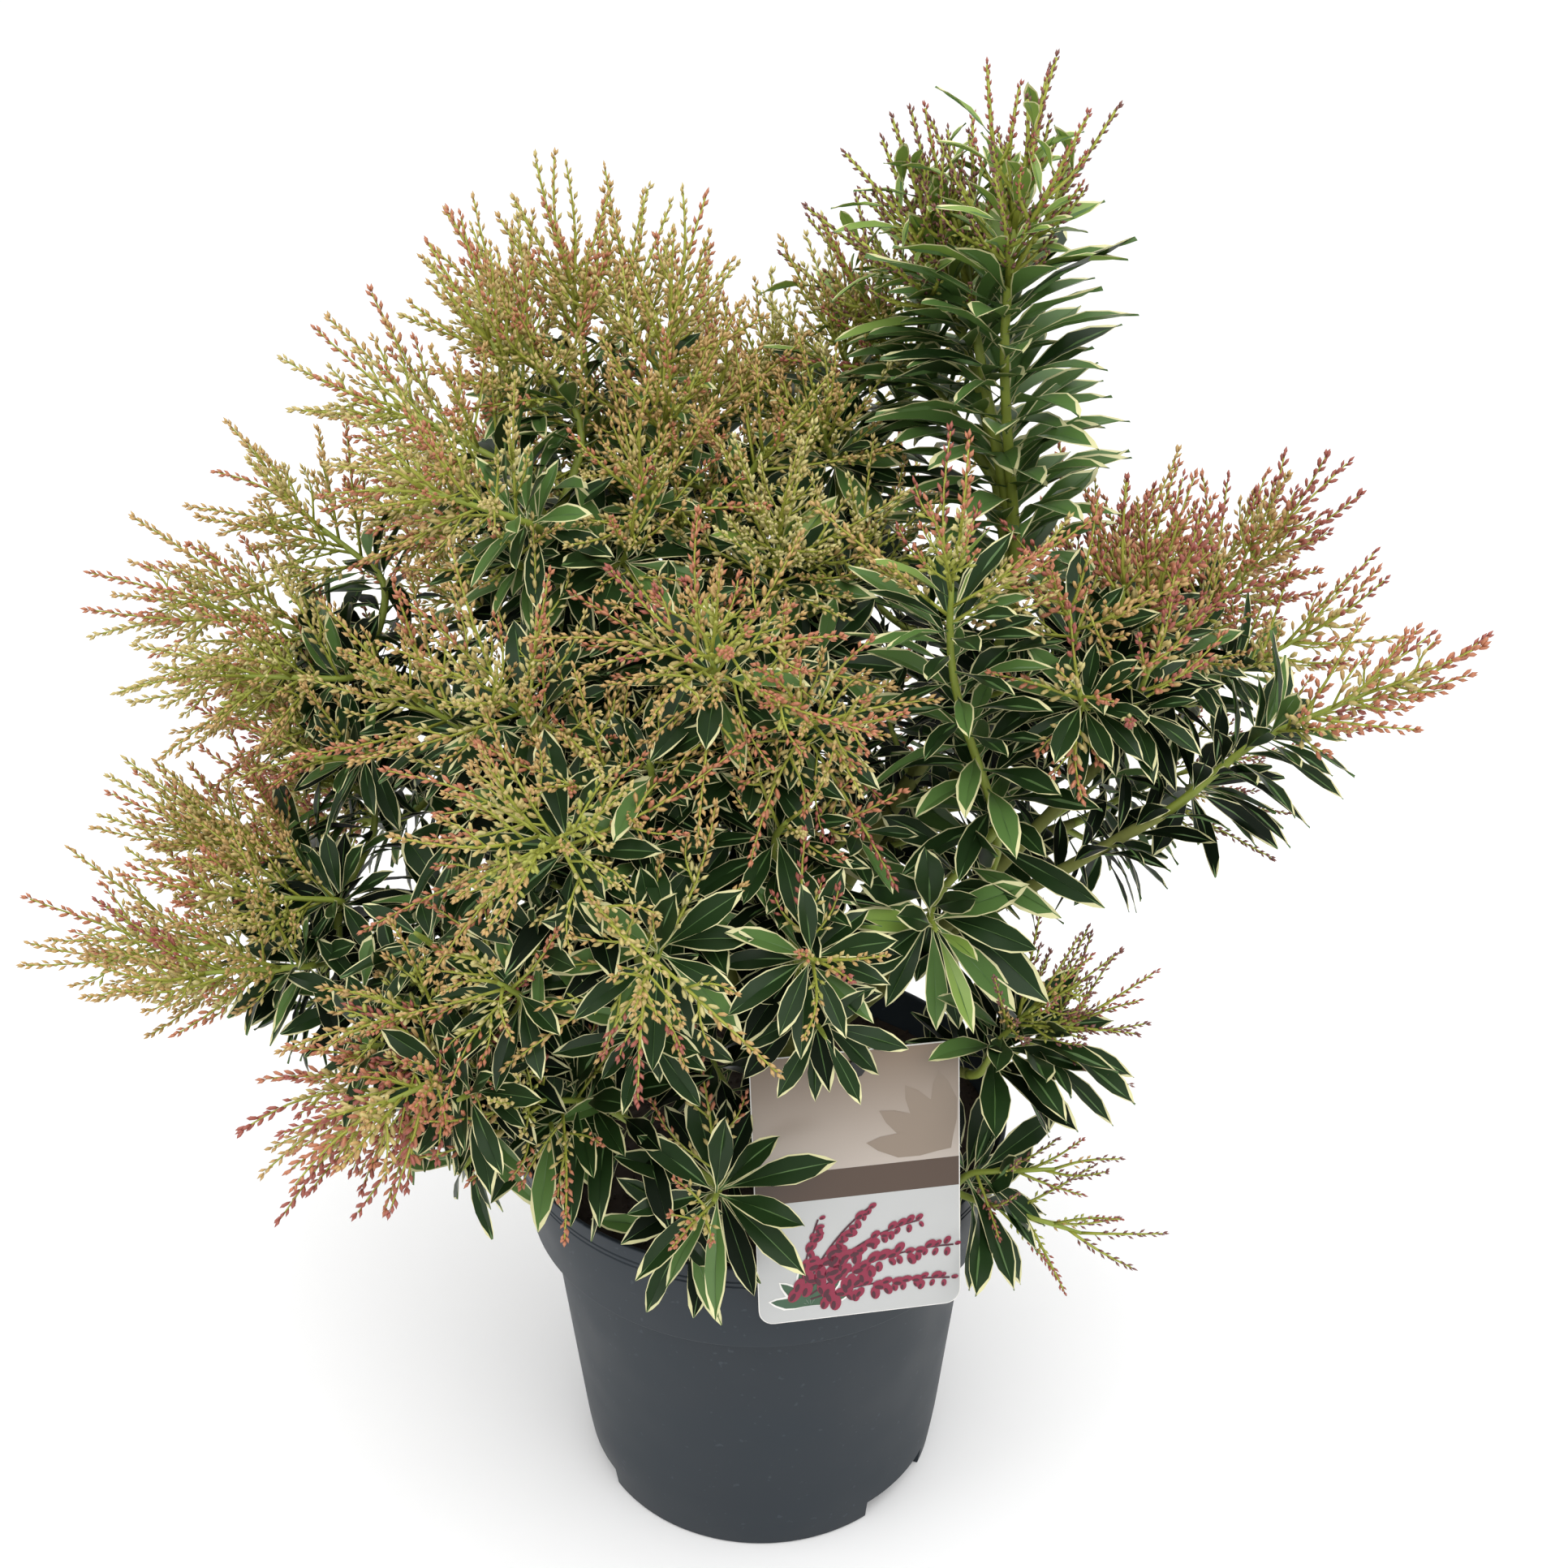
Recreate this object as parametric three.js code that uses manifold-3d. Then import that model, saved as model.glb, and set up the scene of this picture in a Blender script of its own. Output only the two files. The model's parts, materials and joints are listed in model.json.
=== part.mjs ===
// A variegated pieris shrub in a nursery pot with a hanging label card.
// Millimetres, +Z up. The origin is the middle of the pot's flat underside, and -Y is the front.
// Places on the shrub are given by turn (degrees from the front towards +X), out (distance from
// the pot's axis) and up (height over the ground).
import * as THREE from "three";
import { mergeVertices } from "three/addons/utils/BufferGeometryUtils.js";
import Module from "manifold-3d";

const wasm = await Module();
wasm.setup();

// ---------------------------------------------------------------- driving sizes
const GAP = 0.3;                    // clear space between neighbouring solids
const DEG = Math.PI / 180;
const GOLDEN_ANGLE = 137.5 * DEG;   // turn from one leaf or raceme to the next

const POT = {
  height: 242, rim: 140, collarFoot: 133, collarHeight: 60, neck: 123, knee: 108, kneeHeight: 25,
  foot: 104.4, footInner: 92, wall: 2.6, floorUnder: 13.5, floorTop: 16, padRadius: 22, padFlare: 3,
  sides: 36, beadHeight: 232, beadDepth: 1, beadWidth: 3,
};
const NOTCH = { count: 3, firstTurn: 50.5, width: 29, height: 13.4, past: 5 };   // width in degrees
const DRAIN = { count: 6, radius: 6, circle: 62, length: 20, sides: 8 };
const SOIL = { top: 220, crown: 3, flat: 0.6, sides: 28 };
const CARD = {
  width: 105, height: 148, thickness: 0.6, corner: 8, x: 50.5, y: -127, z: 286.5, leanBack: 11,
  turned: 9.5, hole: 3.2, holeDrop: 9,
};
const STAKE = {
  width: 8, thickness: 1.4, footX: 44.5, footY: -96, overSoil: 0.8, bow: 5, past: 7, sections: 4,
  button: 4.6, buttonHeight: 2.2, neck: 2.4, neckPast: 1,
};
const TRUNK = {
  foot: 21, flareHeight: 16, waist: 13.5, top: 11, height: 88, leanX: 6, leanY: -3, sides: 10, steps: 6,
};
const BOUGH = { sides: 5, steps: 3, kneeShare: 0.42, rise: 0.2, clearStep: 0.25, rimPoints: 8 };
const TWIG = {
  radius: 2.8, second: 2.4, tip: 2.2, sides: 3, steps: 3, clear: 0.1, leaving: 0.3, arriving: 0.4,
  fork: 0.3, spike: 6,
};

const LEAF = {
  thickness: 1.2, widthShare: 0.46, widest: 0.56, fold: 1.6, droop: 0.16, sunk: 0.2,
  lowTilt: 98, highTilt: 62, tiltVaries: 7, length: 0.95, lengthVaries: 0.13, runShare: 0.8,
};
const RACEME = {
  radius: 10.5, root: 0.5, widest: 0.6, sides: 3, steps: 2, slimness: 0.8, firstAt: 3, lastBefore: 2,
  lowSpread: 1.2, highSpread: 0.35, tiltVaries: 5, turnVaries: 11, length: 0.92, lengthVaries: 0.12,
  curl: 0.1,
};
const SPACE = {
  masses: 0.6, limbs: 0.8, own: 0.8, root: 14, pot: 1.6, card: 2.5, cardSide: 5.5, stake: 9,
  stakeFront: 20, stakeOver: 8, step: 5, onLimb: 24,
};
const SHORTER = [1, 0.8, 0.62];     // lengths tried before a leaf or raceme is skipped
const SEED = { first: 101, step: 37 };

const COLOURS = {
  pot: "#3a4046", soil: "#2a211b", card: "#b9b4ad", stake: "#17181a", bark: "#6f7a3a", leaf: "#2f4d2b",
};

// Each bough is one tapering limb: from where it starts (a height on the trunk, or a share of
// the way along another bough) to its tip. rise above 0 arches it up before it reaches out.
const boughs = [
  { name: "bough_tall", on: "trunk", at: 300, turn: 95, out: 114, up: 500, foot: 6.5, tip: 3.6, rise: 0.1 },
  { name: "bough_fork", on: "trunk", at: 276, turn: 62, out: 126, up: 420, foot: 7, tip: 4.6, rise: -0.2 },
  { name: "bough_right_middle", on: "bough_fork", at: 0.93, turn: 79, out: 186, up: 492, foot: 3.9, tip: 2.8,
    rise: 0.02 },
  { name: "bough_right_low", on: "bough_fork", at: 0.8, turn: 71, out: 208, up: 466, foot: 3.9, tip: 2.8,
    rise: -0.02 },
  { name: "bough_right_back", on: "bough_tall", at: 0.42, turn: 103, out: 212, up: 480, foot: 4, tip: 2.8 },
  { name: "bough_low_right", on: "bough_fork", at: 0.35, turn: 51, out: 138, up: 325, foot: 3.6, tip: 2.8,
    rise: -0.1 },
  { name: "bough_lowest_right", on: "trunk", at: 240, turn: 46, out: 122, up: 257, foot: 3.8, tip: 2.8,
    rise: 0.9 },
  { name: "bough_front_upper", on: "trunk", at: 303, turn: -8, out: 84, up: 512, foot: 5, tip: 3, rise: 0.1 },
  { name: "bough_front_centre", on: "bough_front_upper", at: 0.4, turn: 8, out: 134, up: 424, foot: 3.8,
    tip: 2.8 },
  { name: "bough_front_low", on: "trunk", at: 247, turn: -8, out: 126, up: 288, foot: 4, tip: 2.8, rise: 0.4 },
  { name: "bough_front_left", on: "bough_front_upper", at: 0.22, turn: -26, out: 152, up: 452, foot: 4,
    tip: 2.8, rise: 0.1 },
  { name: "bough_left_low", on: "trunk", at: 262, turn: -70, out: 208, up: 378, foot: 5.5, tip: 3.2,
    rise: 0.3 },
  { name: "bough_lower_left", on: "bough_left_low", at: 0.3, turn: -46, out: 174, up: 345, foot: 3.8,
    tip: 2.8 },
  { name: "bough_upper_left", on: "trunk", at: 303, turn: -84, out: 92, up: 548, foot: 5.5, tip: 3.2,
    rise: 0.05 },
  { name: "bough_left_front", on: "bough_upper_left", at: 0.3, turn: -52, out: 126, up: 488, foot: 3.8,
    tip: 2.8 },
  { name: "bough_left_middle", on: "bough_upper_left", at: 0.16, turn: -95, out: 186, up: 488, foot: 4.2,
    tip: 2.8, rise: 0.15 },
  { name: "bough_top_left", on: "trunk", at: 286, turn: -122, out: 84, up: 588, foot: 5.2, tip: 3.2,
    rise: -0.1 },
  { name: "bough_back_left", on: "trunk", at: 270, turn: -140, out: 160, up: 470, foot: 5.2, tip: 3,
    rise: 0.15 },
  { name: "bough_back_left_low", on: "bough_back_left", at: 0.32, turn: -126, out: 198, up: 378, foot: 3.8,
    tip: 2.8 },
  { name: "bough_back", on: "trunk", at: 292, turn: 176, out: 146, up: 512, foot: 5.5, tip: 3, rise: 0.12 },
  { name: "bough_back_low", on: "bough_back", at: 0.3, turn: -176, out: 188, up: 382, foot: 3.8, tip: 2.8 },
  { name: "bough_back_top", on: "bough_back", at: 0.5, turn: -166, out: 96, up: 556, foot: 3.8, tip: 2.8,
    rise: 0.1 },
  { name: "bough_back_right", on: "trunk", at: 270, turn: 128, out: 172, up: 428, foot: 5.2, tip: 3,
    rise: 0.15 },
  { name: "bough_back_right_low", on: "bough_back_right", at: 0.4, turn: 111, out: 190, up: 384, foot: 3.6,
    tip: 2.8 },
  { name: "bough_top_centre", on: "bough_back", at: 0.14, turn: 150, out: 82, up: 572, foot: 4.4, tip: 3,
    rise: 0.05 },
  { name: "bough_centre", on: "bough_top_centre", at: 0.4, turn: 35, out: 16, up: 520, foot: 3.6, tip: 2.8,
    rise: 0.1 },
];

// Each mass of foliage grows from its bough's tip: its first shoot's stem is the mass's own stem,
// and the others fork from it. A shoot ends in a rosette of leaves at (turn, out, up), pointing
// lean degrees off the vertical towards a turn, and its racemes spread round the spike above.
const masses = [
  { name: "tall_shoots", bough: "bough_tall", shoots: [
    { turn: 94, out: 117, up: 700, lean: 3, towards: 90, leaves: 17, leaf: 68, run: 165,
      racemes: 9, raceme: 74, spread: 34, spike: 26 },
    { turn: 112, out: 107, up: 672, lean: 22, towards: -95, leaves: 7, leaf: 66, run: 70,
      racemes: 8, raceme: 80, spread: 36, spike: 26 },
  ] },
  { name: "front_right", bough: "bough_fork", shoots: [
    { turn: 43, out: 128, up: 580, lean: 4, towards: 0, leaves: 13, leaf: 57, run: 115,
      racemes: 5, raceme: 67, spread: 52, spike: 12 },
    { turn: 40, out: 132, up: 424, lean: 88, towards: 15, leaves: 7, leaf: 68, run: 20,
      racemes: 0, raceme: 56, spread: 40, spike: 0 },
  ] },
  { name: "right_middle", bough: "bough_right_middle", shoots: [
    { turn: 81, out: 188, up: 534, lean: 12, towards: 90, leaves: 7, leaf: 55, run: 25,
      racemes: 8, raceme: 62, spread: 48, spike: 22 },
    { turn: 71, out: 158, up: 552, lean: 20, towards: -40, leaves: 5, leaf: 53, run: 15,
      racemes: 6, raceme: 60, spread: 60, spike: 12 },
  ] },
  { name: "right_low", bough: "bough_right_low", shoots: [
    { turn: 74, out: 258, up: 514, lean: 58, towards: 78, leaves: 7, leaf: 57, run: 20,
      racemes: 8, raceme: 64, spread: 38, spike: 30 },
    { turn: 79, out: 224, up: 468, lean: 82, towards: 85, leaves: 8, leaf: 58, run: 25,
      racemes: 0, raceme: 56, spread: 40, spike: 0 },
  ] },
  { name: "right_back", bough: "bough_right_back", shoots: [
    { turn: 103, out: 240, up: 514, lean: 36, towards: 98, leaves: 7, leaf: 57, run: 25,
      racemes: 9, raceme: 68, spread: 48, spike: 30 },
    { turn: 99, out: 198, up: 526, lean: 6, towards: 60, leaves: 5, leaf: 53, run: 20,
      racemes: 6, raceme: 58, spread: 42, spike: 16 },
  ] },
  { name: "low_right", bough: "bough_low_right", shoots: [
    { turn: 51, out: 160, up: 362, lean: 34, towards: 60, leaves: 9, leaf: 58, run: 25,
      racemes: 7, raceme: 54, spread: 42, spike: 16 },
  ] },
  { name: "lowest_right", bough: "bough_lowest_right", shoots: [
    { turn: 49, out: 158, up: 254, lean: 90, towards: 64, leaves: 7, leaf: 52, run: 18,
      racemes: 7, raceme: 52, spread: 50, spike: 34 },
  ] },
  { name: "front_centre", bough: "bough_front_centre", shoots: [
    { turn: 9, out: 165, up: 446, lean: 62, towards: 10, leaves: 9, leaf: 66, run: 22,
      racemes: 4, raceme: 46, spread: 50, spike: 12 },
    { turn: 5, out: 124, up: 488, lean: 45, towards: 20, leaves: 6, leaf: 66, run: 18,
      racemes: 3, raceme: 54, spread: 45, spike: 12 },
  ] },
  { name: "front_low", bough: "bough_front_low", shoots: [
    { turn: -7, out: 158, up: 305, lean: 66, towards: -4, leaves: 10, leaf: 66, run: 22,
      racemes: 2, raceme: 65, spread: 70, spike: 8 },
    { turn: -32, out: 166, up: 350, lean: 60, towards: -40, leaves: 6, leaf: 61, run: 18,
      racemes: 7, raceme: 76, spread: 58, spike: 22 },
  ] },
  { name: "front_upper", bough: "bough_front_upper", shoots: [
    { turn: -9, out: 106, up: 555, lean: 42, towards: -4, leaves: 7, leaf: 59, run: 20,
      racemes: 10, raceme: 78, spread: 72, spike: 18, curl: -0.08 },
  ] },
  { name: "front_left", bough: "bough_front_left", shoots: [
    { turn: -28, out: 176, up: 500, lean: 52, towards: -30, leaves: 8, leaf: 64, run: 20,
      racemes: 8, raceme: 86, spread: 74, spike: 14, curl: -0.05 },
    { turn: -13, out: 184, up: 458, lean: 74, towards: -10, leaves: 7, leaf: 64, run: 18,
      racemes: 5, raceme: 71, spread: 70, spike: 12, curl: -0.1 },
  ] },
  { name: "left_front", bough: "bough_left_front", shoots: [
    { turn: -64, out: 156, up: 514, lean: 48, towards: -66, leaves: 7, leaf: 57, run: 20,
      racemes: 6, raceme: 73, spread: 58, spike: 16 },
    { turn: -46, out: 142, up: 534, lean: 42, towards: -45, leaves: 6, leaf: 57, run: 20,
      racemes: 7, raceme: 76, spread: 62, spike: 16 },
  ] },
  { name: "lower_left", bough: "bough_lower_left", shoots: [
    { turn: -47, out: 200, up: 368, lean: 96, towards: -62, leaves: 6, leaf: 57, run: 18,
      racemes: 9, raceme: 74, spread: 50, spike: 28 },
    { turn: -43, out: 205, up: 404, lean: 58, towards: -45, leaves: 6, leaf: 55, run: 18,
      racemes: 7, raceme: 73, spread: 60, spike: 18 },
  ] },
  { name: "left_low", bough: "bough_left_low", shoots: [
    { turn: -76, out: 256, up: 384, lean: 84, towards: -84, leaves: 5, leaf: 55, run: 18,
      racemes: 11, raceme: 80, spread: 42, spike: 34 },
    { turn: -82, out: 232, up: 422, lean: 72, towards: -88, leaves: 5, leaf: 55, run: 18,
      racemes: 8, raceme: 82, spread: 36, spike: 28 },
  ] },
  { name: "left_middle", bough: "bough_left_middle", shoots: [
    { turn: -97, out: 226, up: 518, lean: 76, towards: -95, leaves: 6, leaf: 57, run: 20,
      racemes: 11, raceme: 88, spread: 46, spike: 34 },
    { turn: -92, out: 222, up: 476, lean: 76, towards: -88, leaves: 7, leaf: 57, run: 20,
      racemes: 5, raceme: 61, spread: 45, spike: 16 },
  ] },
  { name: "upper_left", bough: "bough_upper_left", shoots: [
    { turn: -89, out: 122, up: 622, lean: 60, towards: -92, leaves: 10, leaf: 62, run: 60,
      racemes: 11, raceme: 74, spread: 54, spike: 34 },
    { turn: -62, out: 70, up: 584, lean: 40, towards: 30, leaves: 7, leaf: 64, run: 25,
      racemes: 4, raceme: 58, spread: 45, spike: 10 },
  ] },
  { name: "top_left", bough: "bough_top_left", shoots: [
    { turn: -124, out: 102, up: 654, lean: 8, towards: -110, leaves: 6, leaf: 55, run: 20,
      racemes: 12, raceme: 64, spread: 44, spike: 26 },
    { turn: -112, out: 48, up: 618, lean: 14, towards: 10, leaves: 5, leaf: 53, run: 18,
      racemes: 8, raceme: 67, spread: 60, spike: 14 },
  ] },
  { name: "top_centre", bough: "bough_top_centre", shoots: [
    { turn: 148, out: 86, up: 634, lean: 5, towards: -60, leaves: 9, leaf: 57, run: 25,
      racemes: 10, raceme: 61, spread: 48, spike: 16 },
  ] },
  { name: "centre", bough: "bough_centre", shoots: [
    { turn: 25, out: 22, up: 568, lean: 22, towards: 10, leaves: 6, leaf: 57, run: 20,
      racemes: 9, raceme: 67, spread: 62, spike: 16 },
  ] },
  { name: "back_top", bough: "bough_back_top", shoots: [
    { turn: -168, out: 116, up: 596, lean: 24, towards: -165, leaves: 6, leaf: 57, run: 20,
      racemes: 8, raceme: 69, spread: 50, spike: 18 },
  ] },
  { name: "back_right", bough: "bough_back_right", shoots: [
    { turn: 126, out: 212, up: 470, lean: 46, towards: 124, leaves: 8, leaf: 61, run: 22,
      racemes: 8, raceme: 86, spread: 48, spike: 26 },
    { turn: 142, out: 204, up: 412, lean: 78, towards: 145, leaves: 7, leaf: 61, run: 20,
      racemes: 5, raceme: 69, spread: 50, spike: 16 },
  ] },
  { name: "back_right_low", bough: "bough_back_right_low", shoots: [
    { turn: 110, out: 228, up: 400, lean: 76, towards: 108, leaves: 8, leaf: 64, run: 22,
      racemes: 7, raceme: 78, spread: 46, spike: 20 },
  ] },
  { name: "back", bough: "bough_back", shoots: [
    { turn: 176, out: 186, up: 548, lean: 38, towards: 176, leaves: 7, leaf: 59, run: 22,
      racemes: 9, raceme: 82, spread: 50, spike: 24 },
    { turn: 158, out: 196, up: 498, lean: 60, towards: 155, leaves: 7, leaf: 61, run: 20,
      racemes: 6, raceme: 73, spread: 52, spike: 16 },
  ] },
  { name: "back_low", bough: "bough_back_low", shoots: [
    { turn: -177, out: 236, up: 402, lean: 78, towards: -178, leaves: 8, leaf: 62, run: 22,
      racemes: 8, raceme: 80, spread: 46, spike: 22 },
    { turn: 162, out: 222, up: 376, lean: 84, towards: 158, leaves: 7, leaf: 62, run: 20,
      racemes: 5, raceme: 71, spread: 50, spike: 16 },
  ] },
  { name: "back_left", bough: "bough_back_left", shoots: [
    { turn: -138, out: 206, up: 512, lean: 48, towards: -136, leaves: 7, leaf: 59, run: 22,
      racemes: 9, raceme: 87, spread: 48, spike: 26 },
    { turn: -155, out: 194, up: 466, lean: 66, towards: -156, leaves: 6, leaf: 59, run: 20,
      racemes: 6, raceme: 74, spread: 52, spike: 16 },
  ] },
  { name: "back_left_low", bough: "bough_back_left_low", shoots: [
    { turn: -120, out: 246, up: 396, lean: 80, towards: -116, leaves: 7, leaf: 62, run: 22,
      racemes: 9, raceme: 91, spread: 46, spike: 28 },
    { turn: -143, out: 228, up: 372, lean: 84, towards: -146, leaves: 7, leaf: 62, run: 20,
      racemes: 5, raceme: 73, spread: 50, spike: 16 },
  ] },
];

// ---------------------------------------------------------------- small helpers
const { lerp, mapLinear, clamp } = THREE.MathUtils;
const vec = (x, y, z) => new THREE.Vector3(x, y, z);
const UP = vec(0, 0, 1);

function place(turn, out, up) {
  return vec(out * Math.sin(turn * DEG), -out * Math.cos(turn * DEG), up);
}

// the unit direction that leans off the vertical towards a turn
function pointing(lean, towards) {
  return place(towards, Math.sin(lean * DEG), Math.cos(lean * DEG));
}

// a seeded row of numbers between -1 and 1 (the Park-Miller rule)
function seeded(seed) {
  const [multiplier, modulus] = [16807, 2147483647];
  let state = seed;
  return () => {
    state = (state * multiplier) % modulus;
    return (state / modulus) * 2 - 1;
  };
}

// two directions square to an axis, the first as near the guide as can be
function squareTo(axis, guide) {
  const first = guide.clone().addScaledVector(axis, -guide.dot(axis)).normalize();
  return [first, axis.clone().cross(first)];
}

function guideFor(axis) {
  const steep = Math.abs(axis.z) > 0.7;
  return steep ? vec(1, 0, 0) : UP;
}

function closedMesh(geometry) {
  const bare = geometry.clone();
  bare.deleteAttribute("normal");
  bare.deleteAttribute("uv");
  const merged = mergeVertices(bare, 1e-4);
  const index = merged.index.array;
  const kept = [];
  for (let i = 0; i < index.length; i += 3) {
    const [a, b, c] = [index[i], index[i + 1], index[i + 2]];
    if (a !== b && b !== c && c !== a) kept.push(a, b, c);
  }
  merged.setIndex(kept);
  return merged;
}

function solid(geometry) {
  const merged = closedMesh(geometry);
  return new wasm.Manifold(new wasm.Mesh({
    numProp: 3,
    vertProperties: new Float32Array(merged.attributes.position.array),
    triVerts: new Uint32Array(merged.index.array),
  }));
}

// the solid of a geometry, turned inside out where its faces look inwards
function outward(geometry) {
  const body = solid(geometry);
  if (body.volume() > 0) return body;
  const flipped = closedMesh(geometry);
  const index = flipped.index.array;
  for (let i = 0; i < index.length; i += 3) [index[i + 1], index[i + 2]] = [index[i + 2], index[i + 1]];
  return solid(flipped);
}

function geometryOf(manifold) {
  const mesh = manifold.getMesh();
  const geometry = new THREE.BufferGeometry();
  geometry.setAttribute("position", new THREE.BufferAttribute(new Float32Array(mesh.vertProperties), 3));
  geometry.setIndex(new THREE.BufferAttribute(new Uint32Array(mesh.triVerts), 1));
  geometry.computeVertexNormals();
  return geometry;
}

// the pieces fused into one body: scraps and sealed hollows are left out
function fused(pieces) {
  const whole = pieces.reduce((body, piece) => body.add(piece));
  const bodies = whole.decompose();
  bodies.sort((a, b) => b.volume() - a.volume());
  return bodies[0];
}

// a many-sided rod bent along a path, its radius given at each share of the way
function rod(path, radiusAt, sides, steps, pointed) {
  const geometry = new THREE.CylinderGeometry(pointed ? 0 : 1, 1, 1, sides, steps);
  const position = geometry.attributes.position;
  const guide = guideFor(path(1).sub(path(0)).normalize());
  const nearby = 0.02;
  for (let i = 0; i < position.count; i += 1) {
    const share = position.getY(i) + 0.5;
    const centre = path(share);
    const ahead = path(Math.min(share + nearby, 1)).sub(path(Math.max(share - nearby, 0))).normalize();
    const [first, second] = squareTo(ahead, guide);
    const radius = radiusAt(share);
    centre.addScaledVector(first, position.getX(i) * radius);
    centre.addScaledVector(second, -position.getZ(i) * radius);
    position.setXYZ(i, centre.x, centre.y, centre.z);
  }
  return geometry;
}

function named(name, geometry, colour, roughness) {
  const material = new THREE.MeshStandardMaterial({ color: colour, roughness, metalness: 0 });
  const mesh = new THREE.Mesh(geometry, material);
  mesh.name = name;
  return mesh;
}

// ---------------------------------------------------------------- pot and soil
const NECK_HEIGHT = POT.height - POT.collarHeight;

function potOuterRadius(z) {
  if (z >= NECK_HEIGHT) return mapLinear(z, NECK_HEIGHT, POT.height, POT.collarFoot, POT.rim);
  if (z >= POT.kneeHeight) return mapLinear(z, POT.kneeHeight, NECK_HEIGHT, POT.knee, POT.neck);
  return mapLinear(z, 0, POT.kneeHeight, POT.foot, POT.knee);
}

// the pot's inside from below the lip down to the edge of its floor
const potInside = [
  [POT.collarFoot - POT.wall, NECK_HEIGHT + POT.wall],
  [POT.neck - POT.wall, NECK_HEIGHT - POT.wall],
  [POT.knee - POT.wall, POT.kneeHeight],
  [POT.knee - 2 * POT.wall, POT.floorTop],
];

function turned(profile, sides) {
  const points = profile.map(([radius, height]) => new THREE.Vector2(radius, height));
  const geometry = new THREE.LatheGeometry(points, sides);
  geometry.rotateX(Math.PI / 2);
  return geometry;
}

// the fine raised line that runs round the collar below the lip
function potBead() {
  const half = POT.beadWidth / 2;
  return [-half, 0, half].map((offset) => {
    const z = POT.beadHeight + offset;
    return [potOuterRadius(z) + (offset === 0 ? POT.beadDepth : 0), z];
  });
}

// a gap in the foot ring, as wide as its angle, through which water runs out
function notch(turn) {
  const half = (NOTCH.width / 2) * DEG;
  const outline = new THREE.Shape();
  outline.absarc(0, 0, POT.foot + NOTCH.past, -half, half, false);
  outline.absarc(0, 0, POT.footInner - NOTCH.past, half, -half, true);
  const depth = NOTCH.height + NOTCH.past;
  const geometry = new THREE.ExtrudeGeometry(outline, { depth, bevelEnabled: false, curveSegments: 3 });
  geometry.translate(0, 0, -NOTCH.past);
  geometry.rotateZ((turn - 90) * DEG);
  return outward(geometry);
}

function drainHole(index) {
  const hole = new THREE.CylinderGeometry(DRAIN.radius, DRAIN.radius, DRAIN.length, DRAIN.sides);
  hole.rotateX(Math.PI / 2);
  hole.translate(DRAIN.circle, 0, POT.floorTop);
  hole.rotateZ((index * 360 / DRAIN.count) * DEG);
  return outward(hole);
}

function makePot() {
  const profile = [
    [0, 0], [POT.padRadius, 0], [POT.padRadius + POT.padFlare, POT.floorUnder],
    [POT.footInner, POT.floorUnder], [POT.footInner, 0], [POT.foot, 0], [POT.knee, POT.kneeHeight],
    [POT.neck, NECK_HEIGHT], [POT.collarFoot, NECK_HEIGHT], ...potBead(), [POT.rim, POT.height],
    [POT.rim - POT.wall, POT.height], ...potInside, [0, POT.floorTop],
  ];
  let body = outward(turned(profile, POT.sides));
  for (let i = 0; i < NOTCH.count; i += 1) {
    body = body.subtract(notch(NOTCH.firstTurn + i * 360 / NOTCH.count));
  }
  for (let i = 0; i < DRAIN.count; i += 1) body = body.subtract(drainHole(i));
  return named("pot", geometryOf(body), COLOURS.pot, 0.55);
}

// the compost: it fills the pot to below its lip, and its top is slightly domed
function makeSoil() {
  const profile = [[0, POT.floorTop + GAP]];
  for (const [radius, height] of [...potInside].reverse()) profile.push([radius - 2 * GAP, height + GAP]);
  const edge = potOuterRadius(SOIL.top) - POT.wall - 3 * GAP;
  profile.push([edge, SOIL.top - SOIL.crown], [edge * SOIL.flat, SOIL.top], [0, SOIL.top]);
  return named("soil", geometryOf(outward(turned(profile, SOIL.sides))), COLOURS.soil, 0.95);
}

// ---------------------------------------------------------------- label
// the card's own frame: x along its width, y up its height, z out of its printed face
function cardMatrix() {
  const stand = new THREE.Matrix4().makeRotationX((90 - CARD.leanBack) * DEG);
  const aside = new THREE.Matrix4().makeRotationZ(CARD.turned * DEG);
  return new THREE.Matrix4().makeTranslation(CARD.x, CARD.y, CARD.z).multiply(aside).multiply(stand);
}

const HOLE_HEIGHT = CARD.height / 2 - CARD.holeDrop;   // in the card's own frame

function makeCard() {
  const [w, h, r] = [CARD.width / 2, CARD.height / 2, CARD.corner];
  const outline = new THREE.Shape();
  outline.absarc(w - r, h - r, r, 0, 90 * DEG, false);
  outline.absarc(r - w, h - r, r, 90 * DEG, 180 * DEG, false);
  outline.absarc(r - w, r - h, r, 180 * DEG, 270 * DEG, false);
  outline.absarc(w - r, r - h, r, 270 * DEG, 360 * DEG, false);
  const hole = new THREE.Path();
  hole.absarc(0, HOLE_HEIGHT, CARD.hole, 0, 360 * DEG, false);
  outline.holes.push(hole);
  const depth = CARD.thickness;
  const geometry = new THREE.ExtrudeGeometry(outline, { depth, bevelEnabled: false, curveSegments: 3 });
  geometry.translate(0, 0, -depth / 2);
  geometry.applyMatrix4(cardMatrix());
  return named("label_card", geometryOf(outward(geometry)), COLOURS.card, 0.4);
}

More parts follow.
